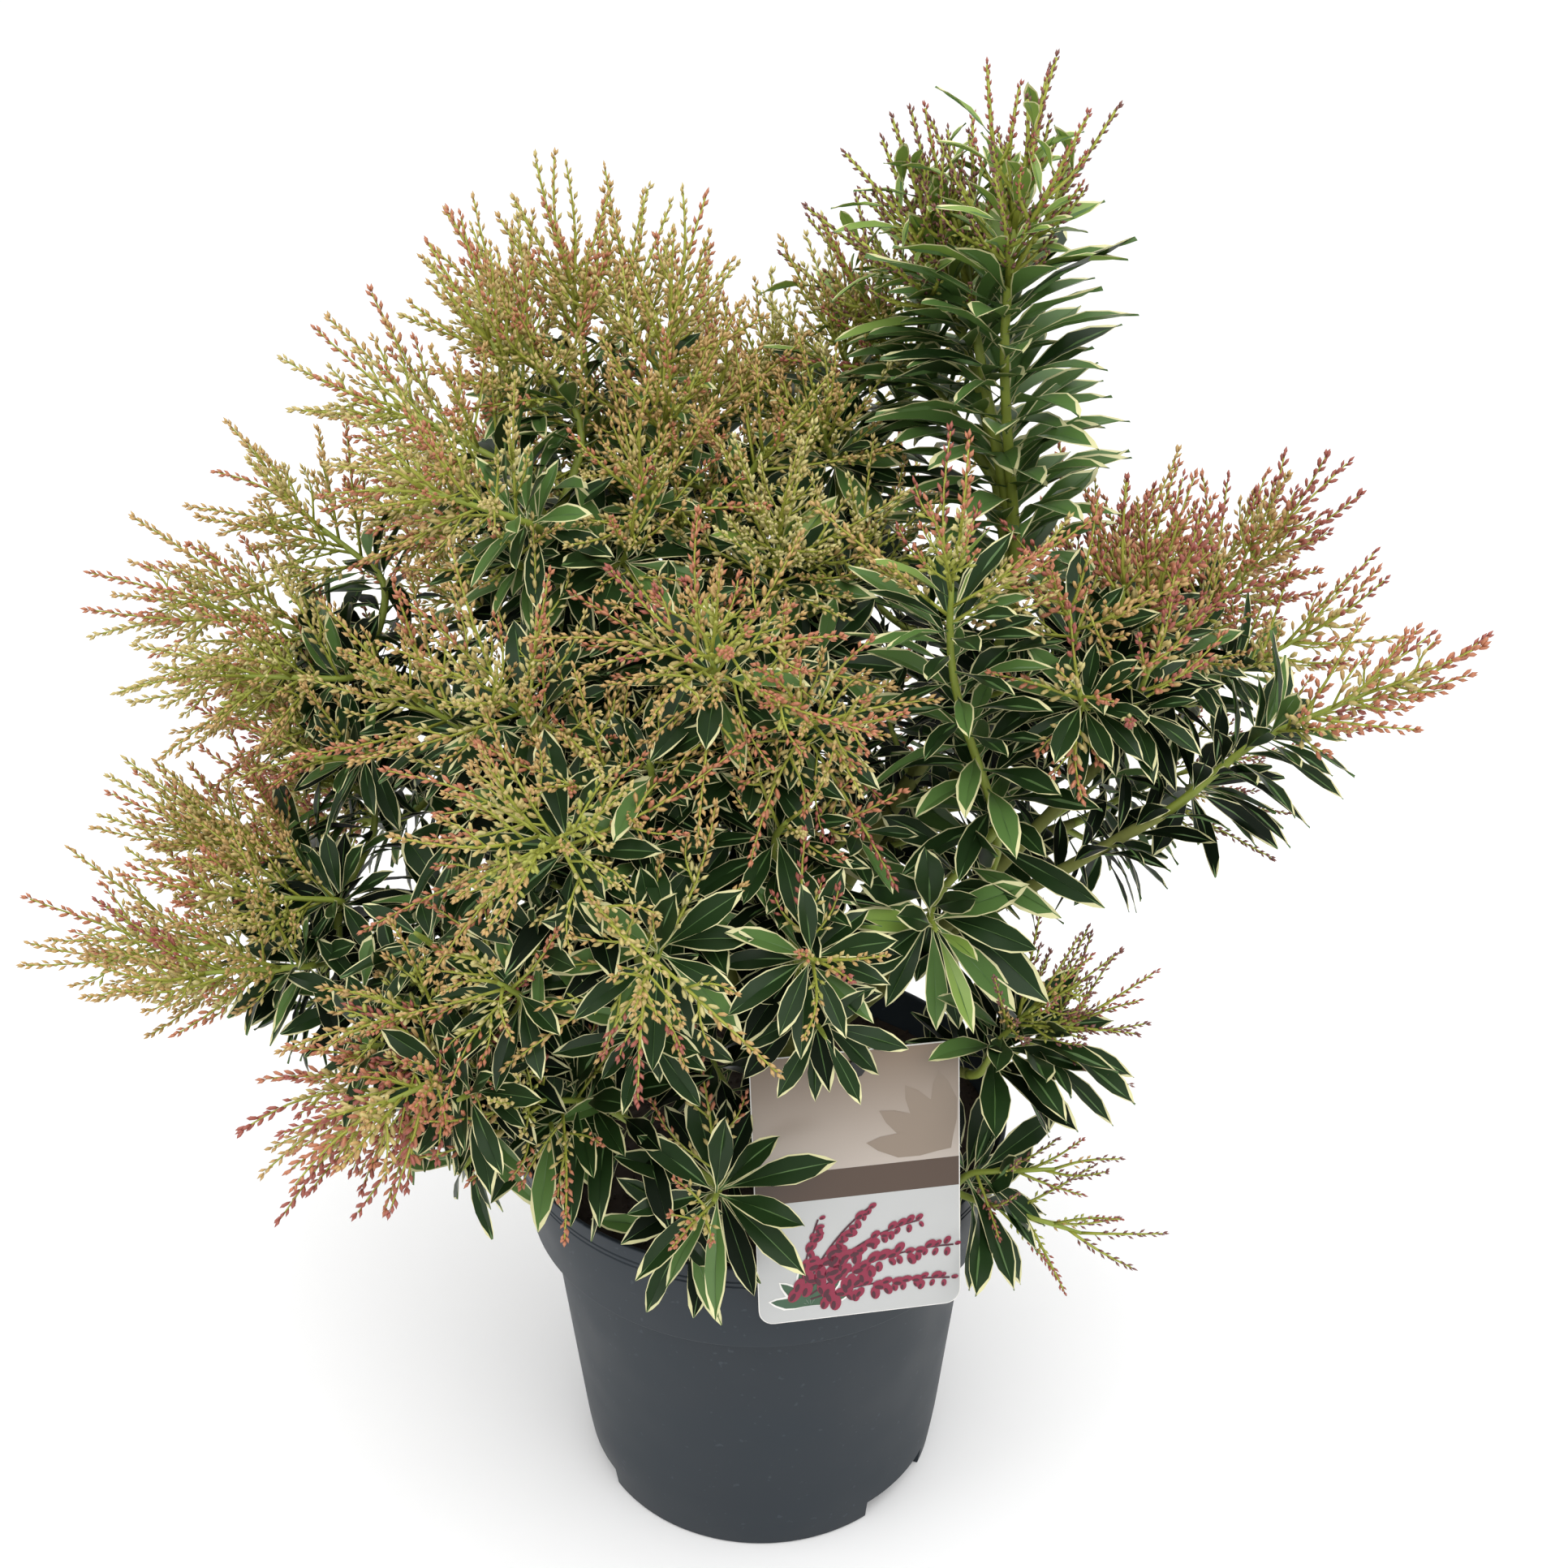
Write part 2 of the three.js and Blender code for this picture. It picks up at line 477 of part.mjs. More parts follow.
// a strip that stands in the pot behind the card
function stakeStrip() {
  const middle = -CARD.thickness / 2 - GAP - STAKE.thickness / 2;
  const foot = vec(STAKE.footX, STAKE.footY, SOIL.top + STAKE.overSoil);
  const head = vec(0, HOLE_HEIGHT, middle).applyMatrix4(cardMatrix());
  const crown = vec(0, HOLE_HEIGHT + STAKE.past, middle).applyMatrix4(cardMatrix());
  const bowed = foot.clone().lerp(head, 0.5).add(vec(0, STAKE.bow, 0));
  const knots = [foot, bowed, foot.clone().lerp(head, 0.88), head, crown];
  const strip = new THREE.BoxGeometry(STAKE.width, STAKE.thickness, 1, 1, 1, STAKE.sections);
  strip.rotateZ(CARD.turned * DEG);
  const position = strip.attributes.position;
  for (let i = 0; i < position.count; i += 1) {
    const knot = knots[Math.round((position.getZ(i) + 0.5) * STAKE.sections)];
    position.setXYZ(i, knot.x + position.getX(i), knot.y + position.getY(i), knot.z);
  }
  return outward(strip);
}

// a round part of the stake that goes through the card's hole, from z0 to z1 in the card's frame
function stakePeg(radius, z0, z1, sides) {
  const peg = new THREE.CylinderGeometry(radius, radius, z1 - z0, sides);
  peg.rotateX(90 * DEG);
  peg.translate(0, HOLE_HEIGHT, (z0 + z1) / 2);
  peg.applyMatrix4(cardMatrix());
  return outward(peg);
}

function makeStake() {
  const face = CARD.thickness / 2 + GAP;
  const neck = stakePeg(STAKE.neck, -face - STAKE.thickness / 2, face + STAKE.neckPast, 8);
  const button = stakePeg(STAKE.button, face, face + STAKE.buttonHeight, 10);
  return named("label_stake", geometryOf(fused([stakeStrip(), neck, button])), COLOURS.stake, 0.45);
}

// ---------------------------------------------------------------- trunk and boughs
const TRUNK_FOOT = SOIL.top + GAP;

function trunkAxis(share) {
  return vec(TRUNK.leanX * share, TRUNK.leanY * share, TRUNK_FOOT + TRUNK.height * share);
}

function trunkRadius(share) {
  const flare = Math.max(0, 1 - (share * TRUNK.height) / TRUNK.flareHeight);
  return lerp(TRUNK.waist, TRUNK.top, share) + (TRUNK.foot - TRUNK.waist) * flare * flare;
}

const limbs = new Map([["trunk", { path: trunkAxis, radiusAt: trunkRadius }]]);

function makeTrunk() {
  const geometry = rod(trunkAxis, trunkRadius, TRUNK.sides, TRUNK.steps, false);
  const position = geometry.attributes.position;
  for (let i = 0; i < position.count; i += 1) {
    if (position.getZ(i) < TRUNK_FOOT + 1) position.setZ(i, TRUNK_FOOT);
  }
  return named("trunk", geometryOf(outward(geometry)), COLOURS.bark, 0.8);
}

// how far along the line from a to b the nearest place to a point is, and how far off it is
function nearestOnLine(a, b, point) {
  const along = b.clone().sub(a);
  const share = clamp(point.clone().sub(a).dot(along) / along.lengthSq(), 0, 1);
  return { share, distance: along.multiplyScalar(share).add(a).distanceTo(point) };
}

function clearanceOf(limb, point) {
  const steps = SPACE.onLimb;
  let best = { distance: Infinity, radius: 0 };
  for (let i = 0; i < steps; i += 1) {
    const near = nearestOnLine(limb.path(i / steps), limb.path((i + 1) / steps), point);
    if (near.distance < best.distance) {
      best = { distance: near.distance, radius: limb.radiusAt((i + near.share) / steps) };
    }
  }
  return best.distance - best.radius;
}

function clearOfLimbs(point, room) {
  return [...limbs.values()].every((limb) => clearanceOf(limb, point) >= room);
}

// moves a limb's start along its way until its whole end face stands clear of the limbs before it
function clearStart(start, aim, radius) {
  const ahead = aim.clone().sub(start).normalize();
  const [first, second] = squareTo(ahead, guideFor(ahead));
  const rim = [];
  for (let i = 0; i < BOUGH.rimPoints; i += 1) {
    const angle = (i * 360 / BOUGH.rimPoints) * DEG;
    const offset = first.clone().multiplyScalar(Math.cos(angle)).addScaledVector(second, Math.sin(angle));
    rim.push(offset.multiplyScalar(radius));
  }
  const point = start.clone();
  while (!rim.every((offset) => clearOfLimbs(offset.clone().add(point), GAP))) {
    point.addScaledVector(ahead, BOUGH.clearStep);
  }
  return point;
}

function growBough(spec) {
  const share = spec.on === "trunk" ? (spec.at - TRUNK_FOOT) / TRUNK.height : spec.at;
  const root = limbs.get(spec.on).path(share);
  const tip = place(spec.turn, spec.out, spec.up);
  const middle = root.clone().lerp(tip, BOUGH.kneeShare);
  middle.z += (tip.z - root.z) * (spec.rise ?? BOUGH.rise);
  const start = clearStart(root, middle, spec.foot);
  const curve = new THREE.QuadraticBezierCurve3(start, middle, tip);
  const path = (along) => curve.getPoint(along);
  const radiusAt = (along) => lerp(spec.foot, spec.tip, along);
  limbs.set(spec.name, { path, radiusAt });
  const geometry = rod(path, radiusAt, BOUGH.sides, BOUGH.steps, false);
  return named(spec.name, geometryOf(outward(geometry)), COLOURS.bark, 0.75);
}

// ---------------------------------------------------------------- the stems of a mass
// a stem leaves its start along ahead, reaches the rosette along the shoot's axis, and runs on
// straight as the spike; bent is the share of its length at the rosette
function stemOf(shoot, start, ahead) {
  const centre = place(shoot.turn, shoot.out, shoot.up);
  const axis = pointing(shoot.lean, shoot.towards);
  const reach = centre.distanceTo(start);
  const leaving = start.clone().addScaledVector(ahead, TWIG.leaving * reach);
  const arriving = centre.clone().addScaledVector(axis, -TWIG.arriving * reach);
  const curve = new THREE.CubicBezierCurve3(start, leaving, arriving, centre);
  const spike = Math.max(shoot.spike, TWIG.spike);
  const end = centre.clone().addScaledVector(axis, spike);
  const bent = reach / (reach + spike);
  const path = (share) => {
    if (share <= bent) return curve.getPoint(share / bent);
    return centre.clone().lerp(end, (share - bent) / (1 - bent));
  };
  return { shoot, centre, axis, reach, spike, bent, path, end };
}

function planMass(mass) {
  const bough = limbs.get(mass.bough);
  const ahead = bough.path(1).sub(bough.path(0.98)).normalize();
  const foot = bough.path(1).addScaledVector(ahead, GAP + TWIG.clear);
  const main = stemOf(mass.shoots[0], foot, ahead);
  const fork = main.path(TWIG.fork * main.bent);
  const others = mass.shoots.slice(1).map((shoot) => {
    const aim = place(shoot.turn, shoot.out, shoot.up).sub(fork).normalize();
    return stemOf(shoot, fork, aim);
  });
  return [main, ...others];
}

// the short straight lines along a mass's stems and spikes, which hold its own space
function spinesOf(plans) {
  const lines = [];
  for (const plan of plans) {
    const points = [0, 0.25, 0.5, 0.75, 1].map((share) => plan.path(share * plan.bent));
    const past = plan.shoot.racemes > 0 ? plan.shoot.raceme / 2 : 0;
    points.push(plan.end.clone().addScaledVector(plan.axis, past));
    for (let i = 1; i < points.length; i += 1) lines.push([points[i - 1], points[i]]);
  }
  return lines;
}

// ---------------------------------------------------------------- room for a leaf or raceme
function insideOwnSpace(point, owner, spines) {
  const reachOf = (lines) => Math.min(...lines.map(([a, b]) => nearestOnLine(a, b, point).distance));
  const own = reachOf(spines.get(owner));
  for (const [name, lines] of spines) {
    if (name !== owner && reachOf(lines) < own + SPACE.masses) return false;
  }
  return true;
}

function clearOfPot(point) {
  const radius = Math.hypot(point.x, point.y);
  const outside = potOuterRadius(point.z) + SPACE.pot;
  const inside = potOuterRadius(point.z) - POT.wall - SPACE.pot;
  if (point.z < SOIL.top + SPACE.pot && radius < outside) return false;
  return point.z > POT.height + SPACE.pot || radius < inside || radius > outside;
}

const intoCard = cardMatrix().invert();

function clearOfLabel(point) {
  const local = point.clone().applyMatrix4(intoCard);
  const overCard = Math.abs(local.x) < CARD.width / 2 + SPACE.card
    && Math.abs(local.y) < CARD.height / 2 + SPACE.card && Math.abs(local.z) < SPACE.cardSide;
  const overStake = Math.abs(point.x - (CARD.x + STAKE.footX) / 2) < SPACE.stake
    && point.y > CARD.y - SPACE.stakeFront && point.y < STAKE.footY + SPACE.stakeOver
    && point.z < CARD.z + CARD.height / 2 + SPACE.stakeOver;
  return !overCard && !overStake;
}

// balls along a piece's middle line, by which the pieces of one mass keep apart beyond their roots
function clearOfOwn(balls, placed) {
  return balls.every((ball) => placed.every((other) =>
    ball.centre.distanceTo(other.centre) > ball.radius + other.radius + SPACE.own));
}

// tries a leaf or raceme at full length and then shorter, and gives its solid if one has room
function grow(piece, form, owner, world) {
  const hasRoom = (point) => clearOfPot(point) && clearOfLabel(point) && clearOfLimbs(point, SPACE.limbs)
    && insideOwnSpace(point, owner, world.spines);
  for (const share of SHORTER) {
    const candidate = { ...piece, length: piece.length * share };
    const balls = form.balls(candidate).filter((ball) => ball.centre.distanceTo(piece.root) > SPACE.root);
    if (clearOfOwn(balls, world.placed) && form.points(candidate).every(hasRoom)) {
      world.placed.push(...balls);
      return form.solid(candidate);
    }
  }
  return null;
}

// the shares of a piece's length at which its room is looked at, beyond its root
function sharesAlong(length) {
  const count = Math.ceil(length / SPACE.step);
  const shares = [];
  for (let i = 2; i <= count; i += 1) shares.push(i / count);
  return shares;
}

// ---------------------------------------------------------------- leaves
function leafLine(leaf, share) {
  const droop = leaf.length * LEAF.droop * share * share;
  return leaf.root.clone().addScaledVector(leaf.out, leaf.length * share).addScaledVector(UP, -droop);
}

// the midrib and the two edges
function leafPoints(leaf) {
  return sharesAlong(leaf.length).flatMap((share) => {
    const grown = share < LEAF.widest ? share / LEAF.widest : (1 - share) / (1 - LEAF.widest);
    const half = leaf.length * LEAF.widthShare * 0.5 * grown;
    return [-1, 0, 1].map((across) => leafLine(leaf, share).addScaledVector(leaf.side, across * half));
  });
}

function leafBalls(leaf) {
  return leafPoints(leaf).map((centre) => ({ centre, radius: LEAF.thickness }));
}

// an octahedron drawn out into a blade: root, tip, two edges, and the two faces of the midrib
function leafSolid(leaf) {
  const geometry = closedMesh(new THREE.OctahedronGeometry(1, 0));
  const position = geometry.attributes.position;
  const half = leaf.length * LEAF.widthShare * 0.5;
  for (let i = 0; i < position.count; i += 1) {
    const [x, y, z] = [position.getX(i), position.getY(i), position.getZ(i)];
    const end = x > 0 ? 1 : -LEAF.sunk / leaf.length;
    const point = leafLine(leaf, x === 0 ? LEAF.widest : end);
    point.addScaledVector(leaf.side, -y * half);
    point.addScaledVector(leaf.face, z * LEAF.thickness * 0.5 + Math.abs(y) * LEAF.fold);
    position.setXYZ(i, point.x, point.y, point.z);
  }
  return outward(geometry);
}

const LEAF_FORM = { points: leafPoints, balls: leafBalls, solid: leafSolid };

// leaf k of a shoot, the lowest first: they stand closer and steeper towards the rosette
function leafOf(plan, k, around, random) {
  const { shoot, axis, path, bent, reach } = plan;
  const along = k / (shoot.leaves - 1);
  const tilt = (lerp(LEAF.lowTilt, LEAF.highTilt, along) + LEAF.tiltVaries * random()) * DEG;
  const out = axis.clone().multiplyScalar(Math.cos(tilt)).addScaledVector(around(0), Math.sin(tilt));
  const [face, side] = squareTo(out, axis);
  const back = Math.min(shoot.run, LEAF.runShare * reach) * (1 - along);
  const length = shoot.leaf * (LEAF.length + LEAF.lengthVaries * random());
  return { root: path(bent * (1 - back / reach)), out, face, side, length };
}

// ---------------------------------------------------------------- racemes of blossom
function racemePath(raceme) {
  return (share) => raceme.root.clone().addScaledVector(raceme.out, raceme.length * share)
    .addScaledVector(UP, raceme.length * raceme.curl * share * share);
}

function racemeRadius(share) {
  if (share < RACEME.widest) return lerp(RACEME.root, RACEME.radius, share / RACEME.widest);
  return RACEME.radius * (1 - share) / (1 - RACEME.widest);
}

// the middle line and the lines along both sides, above and below
function racemePoints(raceme) {
  const path = racemePath(raceme);
  const sides = [[raceme.side, 0], [raceme.side, 1], [raceme.side, -1], [raceme.face, 1], [raceme.face, -1]];
  return sharesAlong(raceme.length).flatMap((share) =>
    sides.map(([way, sign]) => path(share).addScaledVector(way, sign * racemeRadius(share))));
}

function racemeBalls(raceme) {
  const path = racemePath(raceme);
  return sharesAlong(raceme.length).map((share) =>
    ({ centre: path(share), radius: RACEME.slimness * racemeRadius(share) }));
}

// a three-sided spindle
function racemeSolid(raceme) {
  return outward(rod(racemePath(raceme), racemeRadius, RACEME.sides, RACEME.steps, true));
}

const RACEME_FORM = { points: racemePoints, balls: racemeBalls, solid: racemeSolid };

// raceme k of a shoot, the lowest and widest spread first
function racemeOf(plan, k, around, random) {
  const { shoot, axis, centre, spike } = plan;
  const along = k / (shoot.racemes - 1);
  const spread = shoot.spread * lerp(RACEME.lowSpread, RACEME.highSpread, along);
  const tilt = (spread + RACEME.tiltVaries * random()) * DEG;
  const turn = RACEME.turnVaries * random();
  const out = axis.clone().multiplyScalar(Math.cos(tilt)).addScaledVector(around(turn), Math.sin(tilt));
  const [face, side] = squareTo(out, axis);
  const rootAt = lerp(RACEME.firstAt, spike - RACEME.lastBefore, along);
  const root = centre.clone().addScaledVector(axis, rootAt);
  const length = shoot.raceme * (RACEME.length + RACEME.lengthVaries * random());
  return { root, out, face, side, length, curl: shoot.curl ?? RACEME.curl };
}

// ---------------------------------------------------------------- whole masses
function growShoot(plan, owner, world, random) {
  const { shoot, axis } = plan;
  const [first, second] = squareTo(axis, guideFor(axis));
  const spun = (k) => (more) => {
    const angle = k * GOLDEN_ANGLE + (shoot.turn + more) * DEG;
    return first.clone().multiplyScalar(Math.cos(angle)).addScaledVector(second, Math.sin(angle));
  };
  const pieces = [];
  for (let k = 0; k < shoot.racemes; k += 1) {
    pieces.push(grow(racemeOf(plan, k, spun(k), random), RACEME_FORM, owner, world));
  }
  for (let k = 0; k < shoot.leaves; k += 1) {
    pieces.push(grow(leafOf(plan, k, spun(k), random), LEAF_FORM, owner, world));
  }
  return pieces.filter((piece) => piece !== null);
}

function stemSolid(plan, thick) {
  const radiusAt = (share) => lerp(thick, TWIG.tip, Math.max(0, (share - plan.bent) / (1 - plan.bent)));
  return outward(rod(plan.path, radiusAt, TWIG.sides, TWIG.steps, false));
}

function makeMass(mass, plans, spines, seed) {
  const random = seeded(seed);
  const world = { spines, placed: [] };
  const stems = plans.map((plan, i) => stemSolid(plan, i === 0 ? TWIG.radius : TWIG.second));
  const grown = plans.flatMap((plan) => growShoot(plan, mass.name, world, random));
  return named(`foliage_${mass.name}`, geometryOf(fused([...stems, ...grown])), COLOURS.leaf, 0.6);
}

// ---------------------------------------------------------------- the whole plant
const pieris = new THREE.Group();
pieris.name = "pieris_in_pot";
pieris.add(makePot(), makeSoil(), makeCard(), makeStake(), makeTrunk());
for (const spec of boughs) pieris.add(growBough(spec));
const allPlans = masses.map(planMass);
const allSpines = new Map(masses.map((mass, i) => [mass.name, spinesOf(allPlans[i])]));
masses.forEach((mass, i) => {
  pieris.add(makeMass(mass, allPlans[i], allSpines, SEED.first + SEED.step * i));
});

export default pieris;
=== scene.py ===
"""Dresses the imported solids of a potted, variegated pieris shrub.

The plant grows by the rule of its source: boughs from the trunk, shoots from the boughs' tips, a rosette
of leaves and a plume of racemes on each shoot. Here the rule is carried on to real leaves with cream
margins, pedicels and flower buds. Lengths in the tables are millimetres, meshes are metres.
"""
import functools
import json
import math
from collections import namedtuple
from types import SimpleNamespace as Sizes

import bmesh
import bpy
import numpy as np
from mathutils import Matrix, Vector, noise

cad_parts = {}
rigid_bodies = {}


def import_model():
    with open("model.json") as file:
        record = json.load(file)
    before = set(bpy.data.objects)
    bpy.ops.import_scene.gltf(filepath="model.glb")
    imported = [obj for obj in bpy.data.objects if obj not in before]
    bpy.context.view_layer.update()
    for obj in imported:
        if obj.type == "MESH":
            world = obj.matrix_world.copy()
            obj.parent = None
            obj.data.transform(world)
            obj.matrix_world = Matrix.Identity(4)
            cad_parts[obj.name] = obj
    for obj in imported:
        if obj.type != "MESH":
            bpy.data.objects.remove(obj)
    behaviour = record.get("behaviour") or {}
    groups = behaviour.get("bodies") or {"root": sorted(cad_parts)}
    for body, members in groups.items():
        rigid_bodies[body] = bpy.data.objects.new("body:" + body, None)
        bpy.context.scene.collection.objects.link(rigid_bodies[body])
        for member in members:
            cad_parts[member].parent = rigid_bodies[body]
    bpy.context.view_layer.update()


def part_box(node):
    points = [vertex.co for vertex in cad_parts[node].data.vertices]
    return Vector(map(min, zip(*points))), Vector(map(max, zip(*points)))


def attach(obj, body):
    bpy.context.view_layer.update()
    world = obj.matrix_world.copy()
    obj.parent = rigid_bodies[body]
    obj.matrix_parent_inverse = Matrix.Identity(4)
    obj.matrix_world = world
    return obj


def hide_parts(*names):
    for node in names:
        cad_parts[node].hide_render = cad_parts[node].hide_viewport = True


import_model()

bl_info = {
    "name": "Potted pieris shrub",
    "version": (1, 0, 0),
    "blender": (4, 5, 0),
    "location": "3D View > Sidebar > Pieris",
    "description": "Makes the bark, twigs, leaves, blossom, pot, compost and label of a potted pieris",
    "category": "Object",
}

MM = 0.001
GOLDEN_ANGLE = math.radians(137.5)
UP = np.array((0.0, 0.0, 1.0))
BODY = "root"
POT_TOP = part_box("pot")[1]
POT_RIM, POT_HEIGHT = POT_TOP.x / MM, POT_TOP.z / MM
PIECE_LIMIT = 190_000      # triangles in one joined piece


# -------- colours
def linear(hex_colour):
    """The linear RGBA of an sRGB hex colour."""
    channels = [int(hex_colour[i:i + 2], 16) / 255 for i in (1, 3, 5)]
    return tuple(c / 12.92 if c <= 0.04045 else ((c + 0.055) / 1.055) ** 2.4 for c in channels) + (1.0,)


# -------- the shrub's growth, in millimetres
# Places are given by turn (degrees from the front towards +X), out (distance from the pot's axis) and
# up (height over the ground).
TRUNK = Sizes(
    foot=21, flare=16, waist=13.5, top=11, base=220.3, height=88, lean=(6, -3), steps=30, sides=28,
    relief=1.6
)

# A bough leaves the trunk at a height, or another bough at a share of its length, and ends at its place.
# Foot and tip are its radii, and rise is how far its middle is lifted, as a share of its climb.
Bough = namedtuple("Bough", "name on at turn out up foot tip rise")
BOUGHS = (
    Bough("bough_tall", "trunk", 300, 95, 114, 500, 6.5, 3.6, 0.1),
    Bough("bough_fork", "trunk", 276, 62, 126, 420, 7, 4.6, -0.2),
    Bough("bough_right_middle", "bough_fork", 0.93, 79, 186, 492, 3.9, 2.8, 0.02),
    Bough("bough_right_low", "bough_fork", 0.8, 71, 208, 466, 3.9, 2.8, -0.02),
    Bough("bough_right_back", "bough_tall", 0.42, 103, 212, 480, 4, 2.8, 0.2),
    Bough("bough_low_right", "bough_fork", 0.35, 51, 138, 325, 3.6, 2.8, -0.1),
    Bough("bough_lowest_right", "trunk", 240, 46, 122, 257, 3.8, 2.8, 0.9),
    Bough("bough_front_upper", "trunk", 303, -8, 84, 512, 5, 3, 0.1),
    Bough("bough_front_centre", "bough_front_upper", 0.4, 8, 134, 424, 3.8, 2.8, 0.2),
    Bough("bough_front_low", "trunk", 247, -8, 126, 288, 4, 2.8, 0.4),
    Bough("bough_front_left", "bough_front_upper", 0.22, -26, 152, 452, 4, 2.8, 0.1),
    Bough("bough_left_low", "trunk", 262, -70, 208, 378, 5.5, 3.2, 0.3),
    Bough("bough_lower_left", "bough_left_low", 0.3, -46, 174, 345, 3.8, 2.8, 0.2),
    Bough("bough_upper_left", "trunk", 303, -84, 92, 548, 5.5, 3.2, 0.05),
    Bough("bough_left_front", "bough_upper_left", 0.3, -52, 126, 488, 3.8, 2.8, 0.2),
    Bough("bough_left_middle", "bough_upper_left", 0.16, -95, 186, 488, 4.2, 2.8, 0.15),
    Bough("bough_top_left", "trunk", 286, -122, 84, 588, 5.2, 3.2, -0.1),
    Bough("bough_back_left", "trunk", 270, -140, 160, 470, 5.2, 3, 0.15),
    Bough("bough_back_left_low", "bough_back_left", 0.32, -126, 198, 378, 3.8, 2.8, 0.2),
    Bough("bough_back", "trunk", 292, 176, 146, 512, 5.5, 3, 0.12),
    Bough("bough_back_low", "bough_back", 0.3, -176, 188, 382, 3.8, 2.8, 0.2),
    Bough("bough_back_top", "bough_back", 0.5, -166, 96, 556, 3.8, 2.8, 0.1),
    Bough("bough_back_right", "trunk", 270, 128, 172, 428, 5.2, 3, 0.15),
    Bough("bough_back_right_low", "bough_back_right", 0.4, 111, 190, 384, 3.6, 2.8, 0.2),
    Bough("bough_top_centre", "bough_back", 0.14, 150, 82, 572, 4.4, 3, 0.05),
    Bough("bough_centre", "bough_top_centre", 0.4, 35, 16, 520, 3.6, 2.8, 0.1),
)

# A shoot's rosette is at its place, leaning towards a turn. Its leaves go back over its run. Its racemes go
# up its spike, and spread off it by degrees; curl lifts their tips, or drops them where it is below 0.
Shoot = namedtuple(
    "Shoot", "turn out up lean towards leaf run racemes raceme spread spike tint curl",
    defaults=(0.1,))
# On twigs whose share of this year's leaves is no more than this, the older leaves take the painted shade
# green.
THIS_YEAR = 0.16           # share of this year's leaves on most twigs
LOW_TILT = 96              # lean of the older leaves on most twigs
